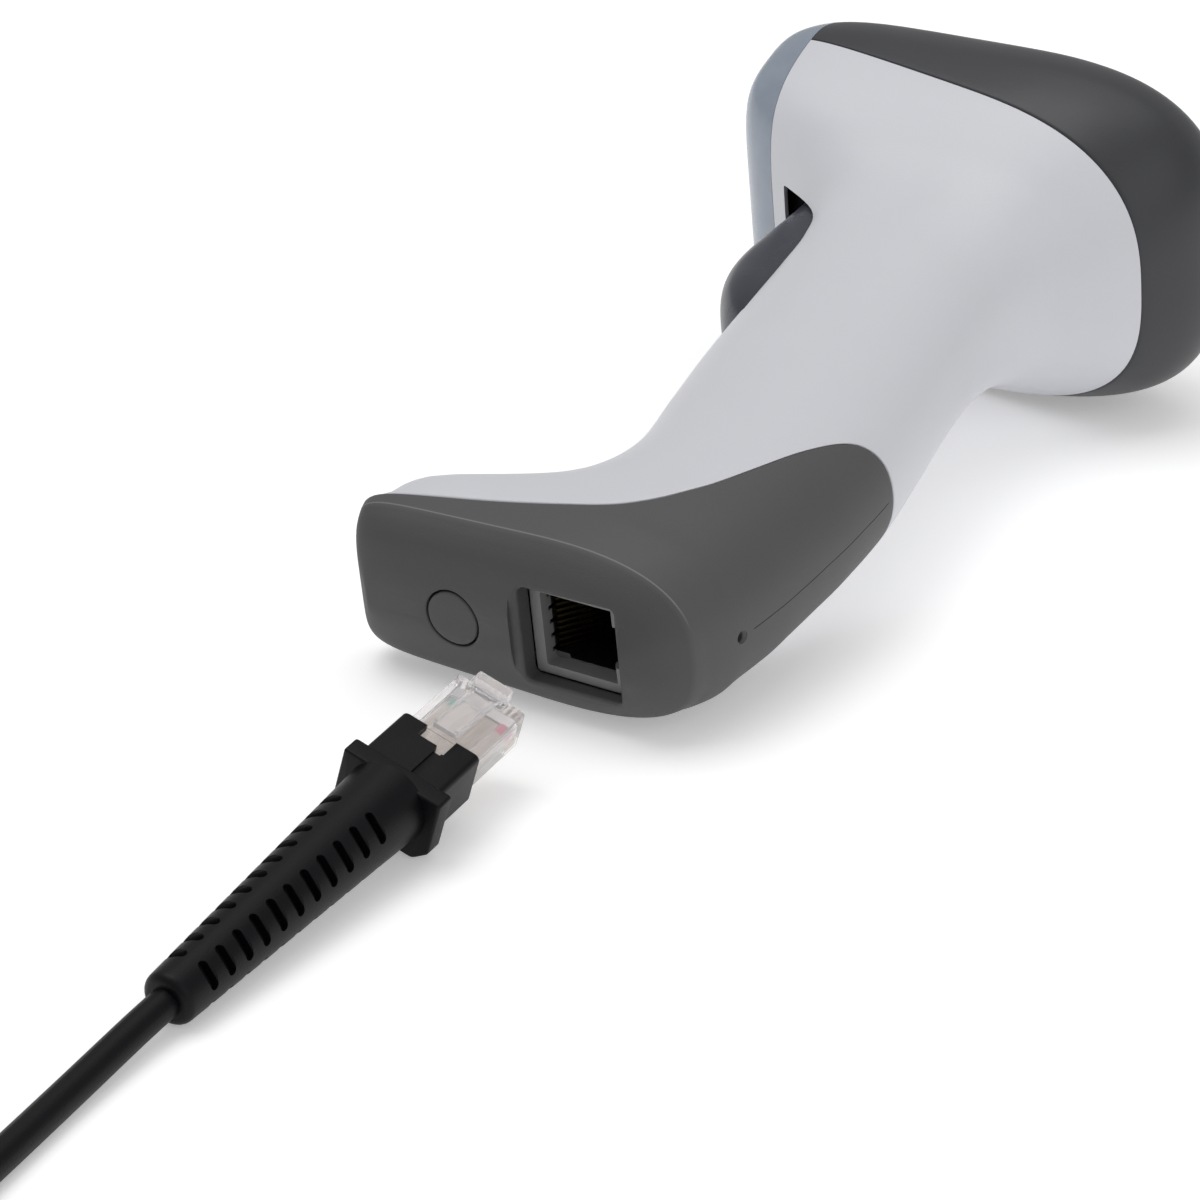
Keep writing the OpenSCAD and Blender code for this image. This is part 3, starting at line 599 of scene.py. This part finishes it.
MATERIALS = {
    "light_shell": material("light_shell", (0.63, 0.635, 0.672), 0.42, grain=0.12, grain_size=0.35,
                            mottle=0.012),
    "dark_cover": material("dark_cover", (0.035, 0.036, 0.04), 0.4, grain=0.1, mottle=0.05),
    "blue_bezel": material("blue_bezel", (0.25, 0.29, 0.35), 0.24, coat=0.15, mottle=0.12,
                           mottle_size=5, sub=0.3),
    "window": material("window", (0.45, 0.02, 0.035), 0.06, transmission=0.85, mottle=0.02),
    "gasket_foam": material("gasket_foam", (0.012, 0.012, 0.012), 0.9, grain=0.3),
    # the boot's bands are painted light: painted shade on its end face and a painted highlight along its
    # crease
    "boot_rubber": material("boot_rubber", (0.078, 0.077, 0.08), 0.58, grain=0.25, grain_size=0.28,
                            mottle=0.03, bands=boot_painted_light()),
    "steel": material("steel", (0.55, 0.55, 0.57), 0.3, metallic=1.0, grain=0.05),
    # the grey jack's band is painted shade: near black deep inside the socket
    "grey_jack": material("grey_jack", (0.2, 0.197, 0.2), 0.42, grain=0.1, mottle=0.06,
                          bands=socket_painted_shade()),
    # the contacts' band is painted shade: dark bronze where they lie deep in the socket
    "gold_contacts": material("gold_contacts", (0.5, 0.36, 0.15), 0.35, metallic=1.0,
                              bands=contact_painted_shade()),
    "green_board": material("green_board", (0.02, 0.11, 0.045), 0.4, grain=0.05, mottle=0.15,
                            mottle_size=3.0),
    "black_parts": material("black_parts", (0.016, 0.016, 0.018), 0.55, grain=0.15),
    "flat_cable": material("flat_cable", (0.5, 0.42, 0.3), 0.5, mottle=0.1),
    "trigger_blue": material("trigger_blue", (0.05, 0.053, 0.066), 0.28, mottle=0.03, specular=0.2),
    "pale_plastic": material("pale_plastic", (0.72, 0.72, 0.68), 0.45, grain=0.05),
    "lens": material("lens", (0.2, 0.25, 0.4), 0.05, transmission=0.7),
    "led": material("led", (0.85, 0.85, 0.75), 0.15, transmission=0.5),
    # the clear plug's glow is painted light: a faint emission that brightens it, though it is no lamp
    "clear_plug": material("clear_plug", (0.94, 0.92, 0.925), 0.1, transmission=0.83, ior=1.3,
                           mottle=0.01, glow=0.025),
    "plug_cores": material("plug_cores", (0.78, 0.7, 0.6), 0.5, mottle=0.15, mottle_size=4.0,
                           bands=core_bands()),
    "black_lead": material("black_lead", (0.0018, 0.0018, 0.003), 0.42, grain=0.2, grain_size=0.25,
                           mottle=0.12, specular=0.2),
    "usb_steel": material("usb_steel", (0.6, 0.6, 0.62), 0.22, metallic=1.0, grain=0.03),
}


def finish_piece(obj, slot, body, *replaced, angle=32.0):
    """Gives a piece its material, shading, body and the CAD nodes that it stands for."""
    obj.data.materials.clear()
    obj.data.materials.append(MATERIALS[slot])
    if obj.type == "MESH":
        smooth_shade(obj, angle)
    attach(obj, body)
    if replaced:
        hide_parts(*replaced)
    return obj


# ---- camera ----

def add_camera():
    """The photograph's view: behind the handle's end, a little above the surface."""
    turn, rise, roll = (math.radians(a) for a in (-55.299, 26.19, -1.653))
    back = Vector((math.sin(turn) * math.cos(rise), -math.cos(turn) * math.cos(rise), math.sin(rise)))
    level = Vector((math.cos(turn), math.sin(turn), 0))
    right = level * math.cos(roll) + back.cross(level) * math.sin(roll)
    up = back.cross(right)
    data = bpy.data.cameras.new("camera")
    data.lens = 112.7
    data.sensor_width = 36.0
    data.clip_start, data.clip_end = 0.02, 20.0
    camera = bpy.data.objects.new("camera", data)
    bpy.context.scene.collection.objects.link(camera)
    basis = Matrix((right, up, back)).transposed().to_4x4()
    basis.translation = Vector((-484.57, -295.59, 263.66)) * MM
    camera.matrix_world = basis
    bpy.context.scene.camera = camera


# ---- lead ----

def catmull(points, per_span):
    """Dense points on a smooth curve through points."""
    p = np.asarray(points, float)
    full = np.vstack([2 * p[0] - p[1], p, 2 * p[-1] - p[-2]])
    out = []
    for i in range(1, len(full) - 2):
        a, b, c, d = full[i - 1:i + 3]
        for t in np.linspace(0, 1, per_span, endpoint=False):
            out.append(0.5 * (2 * b + (c - a) * t + (2 * a - 5 * b + 4 * c - d) * t * t
                              + (3 * b - a - 3 * c + d) * t ** 3))
    out.append(p[-1])
    return np.array(out)


def coil_path():
    """Turns of the coil: inwards along the surface, then outwards through the two layers above."""
    low, mid, top = 2.3, 6.8, 11.3
    r = COIL_RADII
    cells = [(r[0], low), (r[1], low), (r[2], low), (r[3], low), (r[3], mid), (r[3], top), (r[2], top),
             (r[2], mid), (r[1], mid), (r[1], top), (r[0], top), (r[0], mid)]
    turn_deg, change_deg = 345.0, 110.0
    out = []
    for a in np.arange(0, len(cells) * turn_deg - 4, 7.5):
        k = int(a // turn_deg)
        within = a - k * turn_deg
        f = 0.0
        if within > turn_deg - change_deg and k + 1 < len(cells):
            f = (within - turn_deg + change_deg) / change_deg
            f = f * f * (3 - 2 * f)
        nxt = cells[min(k + 1, len(cells) - 1)]
        radius = cells[k][0] + (nxt[0] - cells[k][0]) * f
        height = cells[k][1] + (nxt[1] - cells[k][1]) * f
        t = math.radians(90 + a)
        out.append((COIL_CENTRE[0] + radius * math.cos(t), COIL_CENTRE[1] + radius * math.sin(t), height))
    return out


def add_cable():
    """The whole cable, from the strain relief through the coil to the far plug."""
    axis = plug_matrix()[:, 0]
    front = np.array(PLUG_FRONT)
    start = [front - axis * (RELIEF_END + d) for d in (0, 6)]
    points = start + [np.array(p) for p in (*ROUTE, *coil_path(), *TAIL)]
    line = in_place(catmull(points, 2))
    curve = bpy.data.curves.new("lead_cable", "CURVE")
    curve.dimensions = "3D"
    curve.bevel_depth = CABLE_D / 2 * MM
    curve.bevel_resolution = 5
    curve.use_fill_caps = True
    spline = curve.splines.new("POLY")
    spline.points.add(len(line) - 1)
    for p, q in zip(spline.points, line):
        p.co = (*q, 1)
    spline.use_smooth = True
    obj = bpy.data.objects.new("lead_cable", curve)
    bpy.context.scene.collection.objects.link(obj)
    obj.data.materials.append(MATERIALS["black_lead"])
    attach(obj, "scanner")
    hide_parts("cable", "cable_coil", "cable_tail")
    return obj, tuple(line[0])


def rounded_outline(corners, r):
    """Closed outline through corners, each rounded off over a length r."""
    corners = [np.array(c, float) for c in corners]
    out = []
    for i, corner in enumerate(corners):
        before, after = corners[i - 1], corners[(i + 1) % len(corners)]
        a = corner + (before - corner) / np.linalg.norm(before - corner) * r
        b = corner + (after - corner) / np.linalg.norm(after - corner) * r
        for t in np.linspace(0, 1, 5):
            out.append((1 - t) ** 2 * a + 2 * t * (1 - t) * corner + t * t * b)
    return np.array(out)


def flange_outline():
    """Flat on the latch side, with its far corners cut off."""
    side, low, high, off = FLANGE_W / 2, FLANGE_Z[0], FLANGE_Z[1], FLANGE_CUT
    return rounded_outline([(side, low + off), (side, high), (-side, high), (-side, low + off),
                            (-side + off, low), (side - off, low)], 0.5)


def relief_radius(x):
    """Radius of the tapering relief at x behind the plug's front."""
    return (RELIEF_D[0] + (RELIEF_D[1] - RELIEF_D[0]) * (-RELIEF_START - x) / RELIEF_LEN) / 2


def relief_cone():
    """Tapering part of the strain relief, with a blunt round end."""
    start, end, blunt = -RELIEF_START + 0.6, -RELIEF_END, 1.3
    stations = [(x, relief_radius(x)) for x in np.linspace(start, end + blunt, 40)]
    for t in np.linspace(0, math.pi / 2, 7)[1:]:
        x = end + blunt * (1 - math.sin(t))
        stations.append((x, relief_radius(x) - blunt * (1 - math.cos(t))))
    unit = circle(1.0, 72)
    rows = [np.column_stack([np.full(len(unit), x), unit * r]) for x, r in stations]
    return ring_mesh("cone", rows, from_plug)


def relief_slot(x, angle):
    """Cutter for one slot of the strain relief at x, turned by angle about the plug's axis."""
    width, length, depth = 1.5, 5.0, 1.5
    r = relief_radius(x)
    outline = round_rect(width / 2, min(length, 1.05 * r) / 2, width * 0.48, 4)
    c, s = math.cos(angle), math.sin(angle)
    rows = []
    for reach, grow in ((r - depth, -0.12), (r - 0.25, 0.0), (r + 0.1, 0.3), (r + 1.5, 0.6)):
        across = outline[:, 1] * (1 + grow / (length / 2))
        rows.append(np.column_stack([outline[:, 0] * (1 + grow / width * 2) + x, c * reach - s * across,
                                     s * reach + c * across]))
    return ring_mesh("slot", rows, from_plug)


def add_relief():
    """Collar, flange and slotted strain relief as one black moulding."""
    front, back = -PLUG_REACH, -PLUG_REACH - COLLAR[0]
    piece = bar("strain_relief", back - 0.5, front, COLLAR[1] / 2, COLLAR[2] / 2, 0.9, 0.35, from_plug)
    flange = prism_rows(flange_outline(), rounded_stations(back - FLANGE_T, back, 0.4))
    boolean(piece, ring_mesh("flange", flange, from_plug), "UNION")
    boolean(piece, relief_cone(), "UNION")
    fit = 0.03
    boolean(piece, bar("cavity", -PLUG_BODY - 0.1, 1, PLUG_W / 2 + fit, PLUG_H / 2 + fit, 0.2, 0.05,
                       from_plug))
    top, floor = PLUG_H, PLUG_H / 2 - 0.4
    boolean(piece, box("notch", (-16.2, NOTCH_Y[0] + 1.5, floor), (1, NOTCH_Y[1], top), from_plug, 0.5))
    boolean(piece, box("notch", (NOTCH_BACK, NOTCH_Y[0], floor), (1, -0.8, top), from_plug, 0.2))
    groove_x, groove_z = back + 0.2, COLLAR[2] / 2 - 0.4
    boolean(piece, box("groove", (groove_x, -2.2, groove_z), (1, -1.0, top), from_plug, 0.2))
    sets, count, first, pitch = 4, 11, -35.6, 3.66
    for k in range(count):
        for j in range(sets):
            boolean(piece, relief_slot(first - k * pitch, math.radians(41 + 360 * j / sets)))
    return finish_piece(piece, "black_lead", "scanner", "plug_sleeve", angle=30)


def add_plug():
    """Clear plug: a hollow body with a step in its top, and the slots over its contacts."""
    body = bar("plug_body", -PLUG_BODY, 0, PLUG_W / 2, PLUG_H / 2, 0.45, 0.3, from_plug)
    boolean(body, box("room", (-PLUG_BODY - 2, -5.1, -1.5), (-1.3, 5.1, 1.3), from_plug, 0.3))
    boolean(body, box("step", (-12.9, -4.3, PLUG_H / 2 - 0.35), (-4.6, 4.3, PLUG_H), from_plug, 0.1, 0.1))
    for i in range(PINS):
        y = (i - (PINS - 1) / 2) * PIN_PITCH
        low, high = (-3.2, y - 0.25, -PLUG_H), (1, y + 0.25, -PLUG_H / 2 + 1.6)
        boolean(body, box("contact_slot", low, high, from_plug))
    return finish_piece(body, "clear_plug", "scanner", "plug_housing", angle=30)


def add_cores():
    """The ten cores of the flat lead, side by side in the clear plug."""
    y = np.linspace(-5.05, 5.05, 121)
    ridge = 0.3 + 0.16 * np.abs(np.sin(math.pi * (y / PIN_PITCH + 0.5 * (PINS % 2))))
    rows = []
    for x in np.linspace(-PLUG_BODY + 0.5, -1.5, 26):
        dip = -0.35 - 0.25 * math.tanh((x + 5) / 1.2)
        upper = np.column_stack([np.full(len(y), x), y, dip + ridge])
        lower = np.column_stack([np.full(len(y), x), y[::-1], dip - ridge[::-1]])
        rows.append(np.vstack([upper, lower]))
    return finish_piece(ring_mesh("cores", rows, from_plug), "plug_cores", "scanner", "plug_wires")


def slab(name, outline, y0, y1, edge=0.12):
    """Slab of the plug's latch, its outline in x and z, from y0 to y1 with eased edges."""
    rows = []
    for y, grow in ((y0, -edge), (y0 + edge, 0), (y1 - edge, 0), (y1, -edge)):
        centre = outline.mean(0)
        reach = np.abs(outline - centre).max(0)
        eased = centre + (outline - centre) * (1 + grow / reach)
        rows.append(np.column_stack([eased[:, 0], np.full(len(eased), y), eased[:, 1]]))
    return ring_mesh(name, rows, from_plug)


def add_latch():
    """The plug's latch: a wide head at its nose, and a thin tongue rising to the rear."""
    top = PLUG_H / 2
    head = rounded_outline([(-0.9, top + 0.06), (-0.4, top + 0.35), (-0.45, top + 3.05), (-3.6, top + 3.1),
                            (-3.55, top + 2.4), (-3.3, top + 0.85), (-1.5, top + 0.12)], 0.14)
    latch = slab("plug_tongue", head, LATCH_Y - 2.9, LATCH_Y + 2.9)
    under = rounded_outline([(-2.6, top + 1.15), (-2.6, top + 2.1), (-4.4, top + 2.1),
                             (-4.4, top + 1.15)], 0.1)
    boolean(latch, slab("under", under, LATCH_Y - 3.4, LATCH_Y + 3.4))
    tongue = rounded_outline([(-2.2, top + 0.8), (-2.2, top + 1.9), (-8, top + 2.3), (-14, top + 2.7),
                              (-14, top + 1.85), (-8, top + 1.35)], 0.2)
    boolean(latch, slab("tongue", tongue, LATCH_Y - 2.0, LATCH_Y + 2.0), "UNION")
    for side in (-1, 1):
        rib = rounded_outline([(-3.4, top + 1.9), (-3.4, top + 2.5), (-13.7, top + 3.1),
                               (-13.7, top + 2.5)], 0.12)
        y = LATCH_Y + side * 1.75
        boolean(latch, slab("rib", rib, y - 0.25, y + 0.25, 0.06), "UNION")
    return finish_piece(latch, "clear_plug", "latch", "plug_latch", angle=30)


def add_far_plug():
    """Moulded grip of the lead's other plug, with ribs behind its broad head."""
    x, y = USB_AT
    outline = round_rect(8, 4.2, 3.6, 8) + np.array([y, 4.35])
    stations = [(x, -2.2), (x + 0.5, -1.6)]
    for k in range(4):
        a = x + 1.4 + 1.7 * k
        stations += [(a - 0.35, -1.6 + 0.25 * k), (a, -0.9 + 0.25 * k), (a + 0.7, -0.85 + 0.25 * k),
                     (a + 1.05, -1.55 + 0.25 * k)]
    stations += [(x + 9.2, -0.7), (x + 11, -0.1), (x + 12, 0), (x + 20.8, 0), (x + 21.6, -0.35),
                 (x + 22, -1.1)]
    piece = ring_mesh("far_plug_grip", prism_rows(outline, stations), in_place)
    return finish_piece(piece, "black_lead", "scanner", "usb_overmould")


def add_tie():
    """Strap round the coil, with its ends pressed together."""
    reach = 4 * CABLE_D / 2
    x, y = COIL_CENTRE[0] - 25, COIL_CENTRE[1]
    height = 13.7
    outer = round_rect(reach + 0.75, height / 2 + 0.4, 2.0) + np.array([x - 0.05, height / 2 + 0.45])
    inner = round_rect(reach + 0.15, height / 2 - 0.05, 1.6) + np.array([x - 0.05, height / 2 + 0.45])
    rows = []
    for side, grow in ((-4, -0.15), (-3.85, 0), (3.85, 0), (4, -0.15)):
        ring = (outer - outer.mean(0)) * (1 + grow / 12) + outer.mean(0)
        rows.append(np.column_stack([ring[:, 0], np.full(len(ring), y + side), ring[:, 1]]))
    for side in (4, -4):
        rows.append(np.column_stack([inner[:, 0], np.full(len(inner), y + side), inner[:, 1]]))
    strap = ring_mesh("tie_strap", rows, in_place, closed=True)
    return finish_piece(strap, "black_lead", "scanner", "coil_tie")


# ---- scanner's outer mouldings ----

def rim_cutter(name, outline_at, fillet, depth):
    """Cutter whose mouth follows the handle's end with a fillet; outline_at(grow) is its outline in y, z."""
    lean = math.radians(20)
    reach = 0.9
    profile = [(fillet * (1 - math.sin(lean)) + reach * math.cos(lean),
                fillet * (1 - math.cos(lean)) - reach * math.sin(lean))]
    for t in np.linspace(lean, math.pi / 2, 6):
        profile.append((fillet * (1 - math.sin(t)), fillet * (1 - math.cos(t))))
    first, last = outline_at(profile[0][0]), outline_at(0.0)
    rows = [np.column_stack([np.full(len(first), -3.0), first])]
    for grow, sink in profile:
        edge = outline_at(grow)
        rows.append(np.column_stack([skin.end_x(edge[:, 0], edge[:, 1]) + sink, edge]))
    rows.append(np.column_stack([np.full(len(last), depth), last]))
    return ring_mesh(name, rows, to_row)


def recess_outline(grow):
    """Outline of the boot's recess round the socket, grown by grow."""
    y0, y1 = RECESS_Y
    return round_rect((y1 - y0) / 2 + grow, RECESS_HALF_Z + grow, 1.1 + grow) + np.array([(y0 + y1) / 2, 0])


def pinhole_cutter():
    """Pinhole over the latch's release, with a small countersink."""
    rear = float(skin.value(RELEASE_X, 1))
    unit = circle(1.0, 32)
    rows = []
    for y, r in ((rear - 2, 1.3), (rear - 0.05, 1.15), (rear + 0.1, 1.0), (rear + 0.4, 0.78),
                 (rear + 6, 0.75)):
        rows.append(np.column_stack([RELEASE_X + unit[:, 1] * r, np.full(len(unit), y), unit[:, 0] * r]))
    return ring_mesh("pinhole", rows, to_row)


def parting_cutter():
    """Hairline along the middle of the boot's back."""
    half, depth, above = 0.07, 0.12, 0.4
    rows = []
    for x in np.linspace(17.5, 57.5, 60):
        rear = float(skin.value(x, 1))
        rows.append([(x, rear - above, -half), (x, rear + depth, -half), (x, rear + depth, half),
                     (x, rear - above, half)])
    return ring_mesh("parting", rows, to_row)


def add_boot():
    """Rubber boot, thicker round the socket's recess."""
    edge = skin.meet(TURNS, lambda x, y: x - boot_edge(y), 2, 75)
    boot = shell("boot", skin, TURNS, np.zeros(COLUMNS), edge, BOOT_T, rim=0.45, step=0.6, cap="low")
    half_y = (RECESS_Y[1] - RECESS_Y[0]) / 2 + RECESS_LIP
    frame_block = bar("frame_block", 0.4, JACK_FRONT - SEAM, half_y, RECESS_HALF_Z + RECESS_LIP, 1.6, 0.1,
                      to_row, y=sum(RECESS_Y) / 2)
    boolean(frame_block, solid("within", skin, TURNS, 0.3, 10, 0.35), "INTERSECT")
    boolean(boot, frame_block, "UNION")
    boolean(boot, rim_cutter("recess", recess_outline, 0.7, 12))
    boolean(boot, rim_cutter("disc_hole", lambda g: circle(DISC_R + 0.3 + g) + np.array([DISC_Y, 0]), 0.3, 8))
    boolean(boot, pinhole_cutter())
    boolean(boot, parting_cutter())
    return finish_piece(boot, "boot_rubber", "scanner", "rubber_boot")


def add_disc():
    """Round cover flush with the boot's end."""
    fillet, proud, back = 0.3, 0.02, 2.1
    profile = [(r, 0.0) for r in (0.001, 1.1, 2.2, 3.3, DISC_R - fillet)]
    for t in np.linspace(0, math.pi / 2, 5)[1:]:
        profile.append((DISC_R - fillet + fillet * math.sin(t), fillet * (1 - math.cos(t))))
    rows = []
    for r, sink in profile:
        p = circle(r) + np.array([DISC_Y, 0])
        rows.append(np.column_stack([skin.end_x(p[:, 0], p[:, 1]) + proud + sink, p]))
    p = circle(DISC_R) + np.array([DISC_Y, 0])
    rows.append(np.column_stack([np.full(len(p), back), p]))
    return finish_piece(ring_mesh("end_disc", rows, to_row), "boot_rubber", "scanner", "end_plug")


def add_jack():
    """Socket block with its opening, latch channel and comb of contact separators."""
    jack = box("socket_block", (JACK_FRONT, JACK_Y[0], -JACK_HALF_Z), (JACK_BACK, JACK_Y[1], JACK_HALF_Z),
               corner=0.5, edge=0.25)
    boolean(jack, rod("guide", 1, RELEASE_Y, JACK_Y[0] + 0.5, 1.7, (RELEASE_X, 0)), "UNION")
    front, mouth = JACK_FRONT - 1, JACK_FRONT + 2.5
    boolean(jack, box("socket", (front, SOCKET_Y[0], -SOCKET_HALF_Z),
                      (JACK_FRONT + SOCKET_DEPTH, SOCKET_Y[1], SOCKET_HALF_Z), corner=0.3))
    boolean(jack, box("mouth", (front, SOCKET_Y[0], -6.3), (mouth, CONTACT_SLOT_Y, 6.3), corner=0.4))
    boolean(jack, box("latch_way", (front, SOCKET_Y[0] - LATCH_DEPTH, -LATCH_HALF_W),
                      (JACK_FRONT + 13, SOCKET_Y[0] + 1, LATCH_HALF_W), corner=0.3))
    boolean(jack, box("contact_room", (mouth - 0.5, SOCKET_Y[1] - 1, -5.3),
                      (JACK_FRONT + 9, CONTACT_SLOT_Y, 5.3)))
    for i in range(5):
        z = (i - 2) * 2.4
        boolean(jack, box("notch", (mouth - 0.8, SOCKET_Y[1], z - 0.35),
                          (mouth + 2, CONTACT_SLOT_Y + 0.7, z + 0.35)))
    lead_in = rounded_outline([(JACK_FRONT - 0.6, -1.4), (JACK_FRONT - 0.6, 1.4),
                               (JACK_FRONT + 1.2, 0)], 0.05)
    for z0, z1 in ((-6.3, -LATCH_HALF_W), (LATCH_HALF_W, 6.3)):
        rows = [np.column_stack([lead_in[:, 0], lead_in[:, 1] + SOCKET_Y[0], np.full(len(lead_in), z)])
                for z in (z0, z1)]
        boolean(jack, ring_mesh("lead_in", rows, to_row))
    boolean(jack, rod("release", 1, RELEASE_Y - 1, SOCKET_Y[0] - 1, RELEASE_R, (RELEASE_X, 0)))
    return finish_piece(jack, "grey_jack", "scanner", "modular_jack", angle=30)


def nose_block(shift=0.0):
    """Region of the head in front of the bezel's seam."""
    return box("nose", (110, NOSE_Y + shift, -45), (180, NOSE_Y + 40, 45))


def spine_block(grow):
    """Region of the front strip of the grip."""
    return box("spine", (SPINE_X[0] - grow, 8, -SPINE_HALF_W - grow),
               (SPINE_X[1] + grow, 45, SPINE_HALF_W + grow))


def add_housing():
    """Light housing from the boot's edge to the head's seam, open for the trigger and the front strip."""
    edge = skin.meet(TURNS, lambda x, y: x - boot_edge(y) - SEAM, 2, 75)
    top = skin.meet(TURNS, lambda x, y: x - SEAM_X - SEAM_SLOPE * y, 125, 165)
    housing = shell("housing", skin, TURNS, edge, top, WALL, step=1.3)
    boolean(housing, nose_block())
    boolean(housing, box("slot", (SLOT_X[0], SLOT_Y[0], -SLOT_HALF_W),
                         (SLOT_X[1], SLOT_Y[1], SLOT_HALF_W), corner=0.5))
    boolean(housing, spine_block(0.0))
    return finish_piece(housing, "light_shell", "scanner", "main_housing")


def add_spine():
    """Strip that closes the front of the handle."""
    ones = np.ones(COLUMNS)
    spine = shell("front_strip", skin, TURNS, 26 * ones, 90 * ones, WALL)
    boolean(spine, spine_block(-SEAM), "INTERSECT")
    return finish_piece(spine, "light_shell", "scanner", "front_housing")


def add_cover():
    """Dark cover over the top of the head, with a hole for the status light."""
    top = skin.meet(TURNS, lambda x, y: x - SEAM_X - SEAM_SLOPE * y - SEAM, 125, 165)
    cover = shell("cover", skin, TURNS, top, np.full(COLUMNS, skin.last), WALL, rim=0.4, step=1.2, cap="high")
    boolean(cover, nose_block())
    boolean(cover, rod("light_hole", 0, 150, 175, LIGHT_R, (LIGHT_Y, 0)))
    return finish_piece(cover, "dark_cover", "scanner", "top_cover")


def add_bezel():
    """Front of the head, round the scan window."""
    bezel = shell("bezel", skin, TURNS, np.full(COLUMNS, 118.0), np.full(COLUMNS, skin.last), WALL, step=1.2,
                  cap="high")
    boolean(bezel, nose_block(SEAM), "INTERSECT")
    boolean(bezel, box("window_hole", (WINDOW_X[0], 40, -WINDOW_HALF_W), (WINDOW_X[1], 64, WINDOW_HALF_W),
                       corner=0.5))
    return finish_piece(bezel, "blue_bezel", "scanner", "front_bezel")


def add_trigger():
    """Curved lever with a rounded tip, a rib behind it for the switch and a pocket for its spring."""
    rows = [lever.point(np.full(COLUMNS, lever.first), TURNS, 0, k) for k in (0, 0.3, 0.6, 0.85)]
    rows += [lever.point(np.full(COLUMNS, x), TURNS)
             for x in lever.x_at(np.linspace(lever.station(lever.first), lever.last, 60))]
    piece = ring_mesh("trigger_lever", rows, to_row)
    rib = box("rib", (SWITCH_X - 1.5, RIB_Y, -2), (SWITCH_X + 1.5, 26, 2), corner=0.3, edge=0.2)
    boolean(piece, rib, "UNION")
    boolean(piece, rod("pin_hole", 2, -20, 20, PIN_HOLE_R, PIVOT))
    boolean(piece, box("pocket", (PIVOT[0] - 3.6, 20, -4), (140, PIVOT[1] + 3.6, 4), corner=0.5))
    return finish_piece(piece, "trigger_blue", "trigger_lever", "trigger")


def add_lights():
    """A white world and three soft lamps."""
    world = bpy.data.worlds.new("studio")
    bpy.context.scene.world = world
    world.use_nodes = True
    world.node_tree.nodes["Background"].inputs["Color"].default_value = (1, 1, 1, 1)
    world.node_tree.nodes["Background"].inputs["Strength"].default_value = 0.45
    for name, place, size, power in (
        ("key", (-0.2, 0.3, 1.0), 0.7, 3.4),
        ("fill", (-0.35, -0.95, 0.55), 0.9, 1.6),
        ("top", (0.25, 0.0, 1.1), 0.9, 2.4),
    ):
        data = bpy.data.lights.new(name, "AREA")
        data.energy = power
        data.size = size
        lamp = bpy.data.objects.new(name, data)
        bpy.context.scene.collection.objects.link(lamp)
        lamp.location = place
        aim = Vector((0, 0, 0.02)) - lamp.location
        lamp.rotation_euler = aim.to_track_quat("-Z", "Y").to_euler()
    scene = bpy.context.scene
    scene.view_settings.view_transform = "Standard"


def add_floor():
    """Plain pale surface that everything lies on."""
    size = 6.0
    verts = [(-size, -size, 0), (size, -size, 0), (size, size, 0), (-size, size, 0)]
    floor = make_object("floor", verts, [(0, 1, 2, 3)])
    white = material("floor_white", (0.92, 0.92, 0.92), 0.9, mottle=0.002, mottle_size=400, specular=0.1,
                     glow=0.32)
    floor.data.materials.append(white)


add_camera()
cable, cable_exit = add_cable()
relief = add_relief()
plug = add_plug()
latch = add_latch()
cores = add_cores()
far_plug = add_far_plug()
tie = add_tie()
for add_piece in (add_boot, add_disc, add_jack, add_housing, add_spine, add_cover, add_bezel, add_trigger):
    add_piece()
add_lights()
add_floor()

shown = {s["node"]: s["material_slot"] for s in frame["record"]["subparts"]}
for name, node in frame["nodes"].items():
    node.data.materials.clear()
    node.data.materials.append(MATERIALS[shown[name]])
    smooth_shade(node, 30)
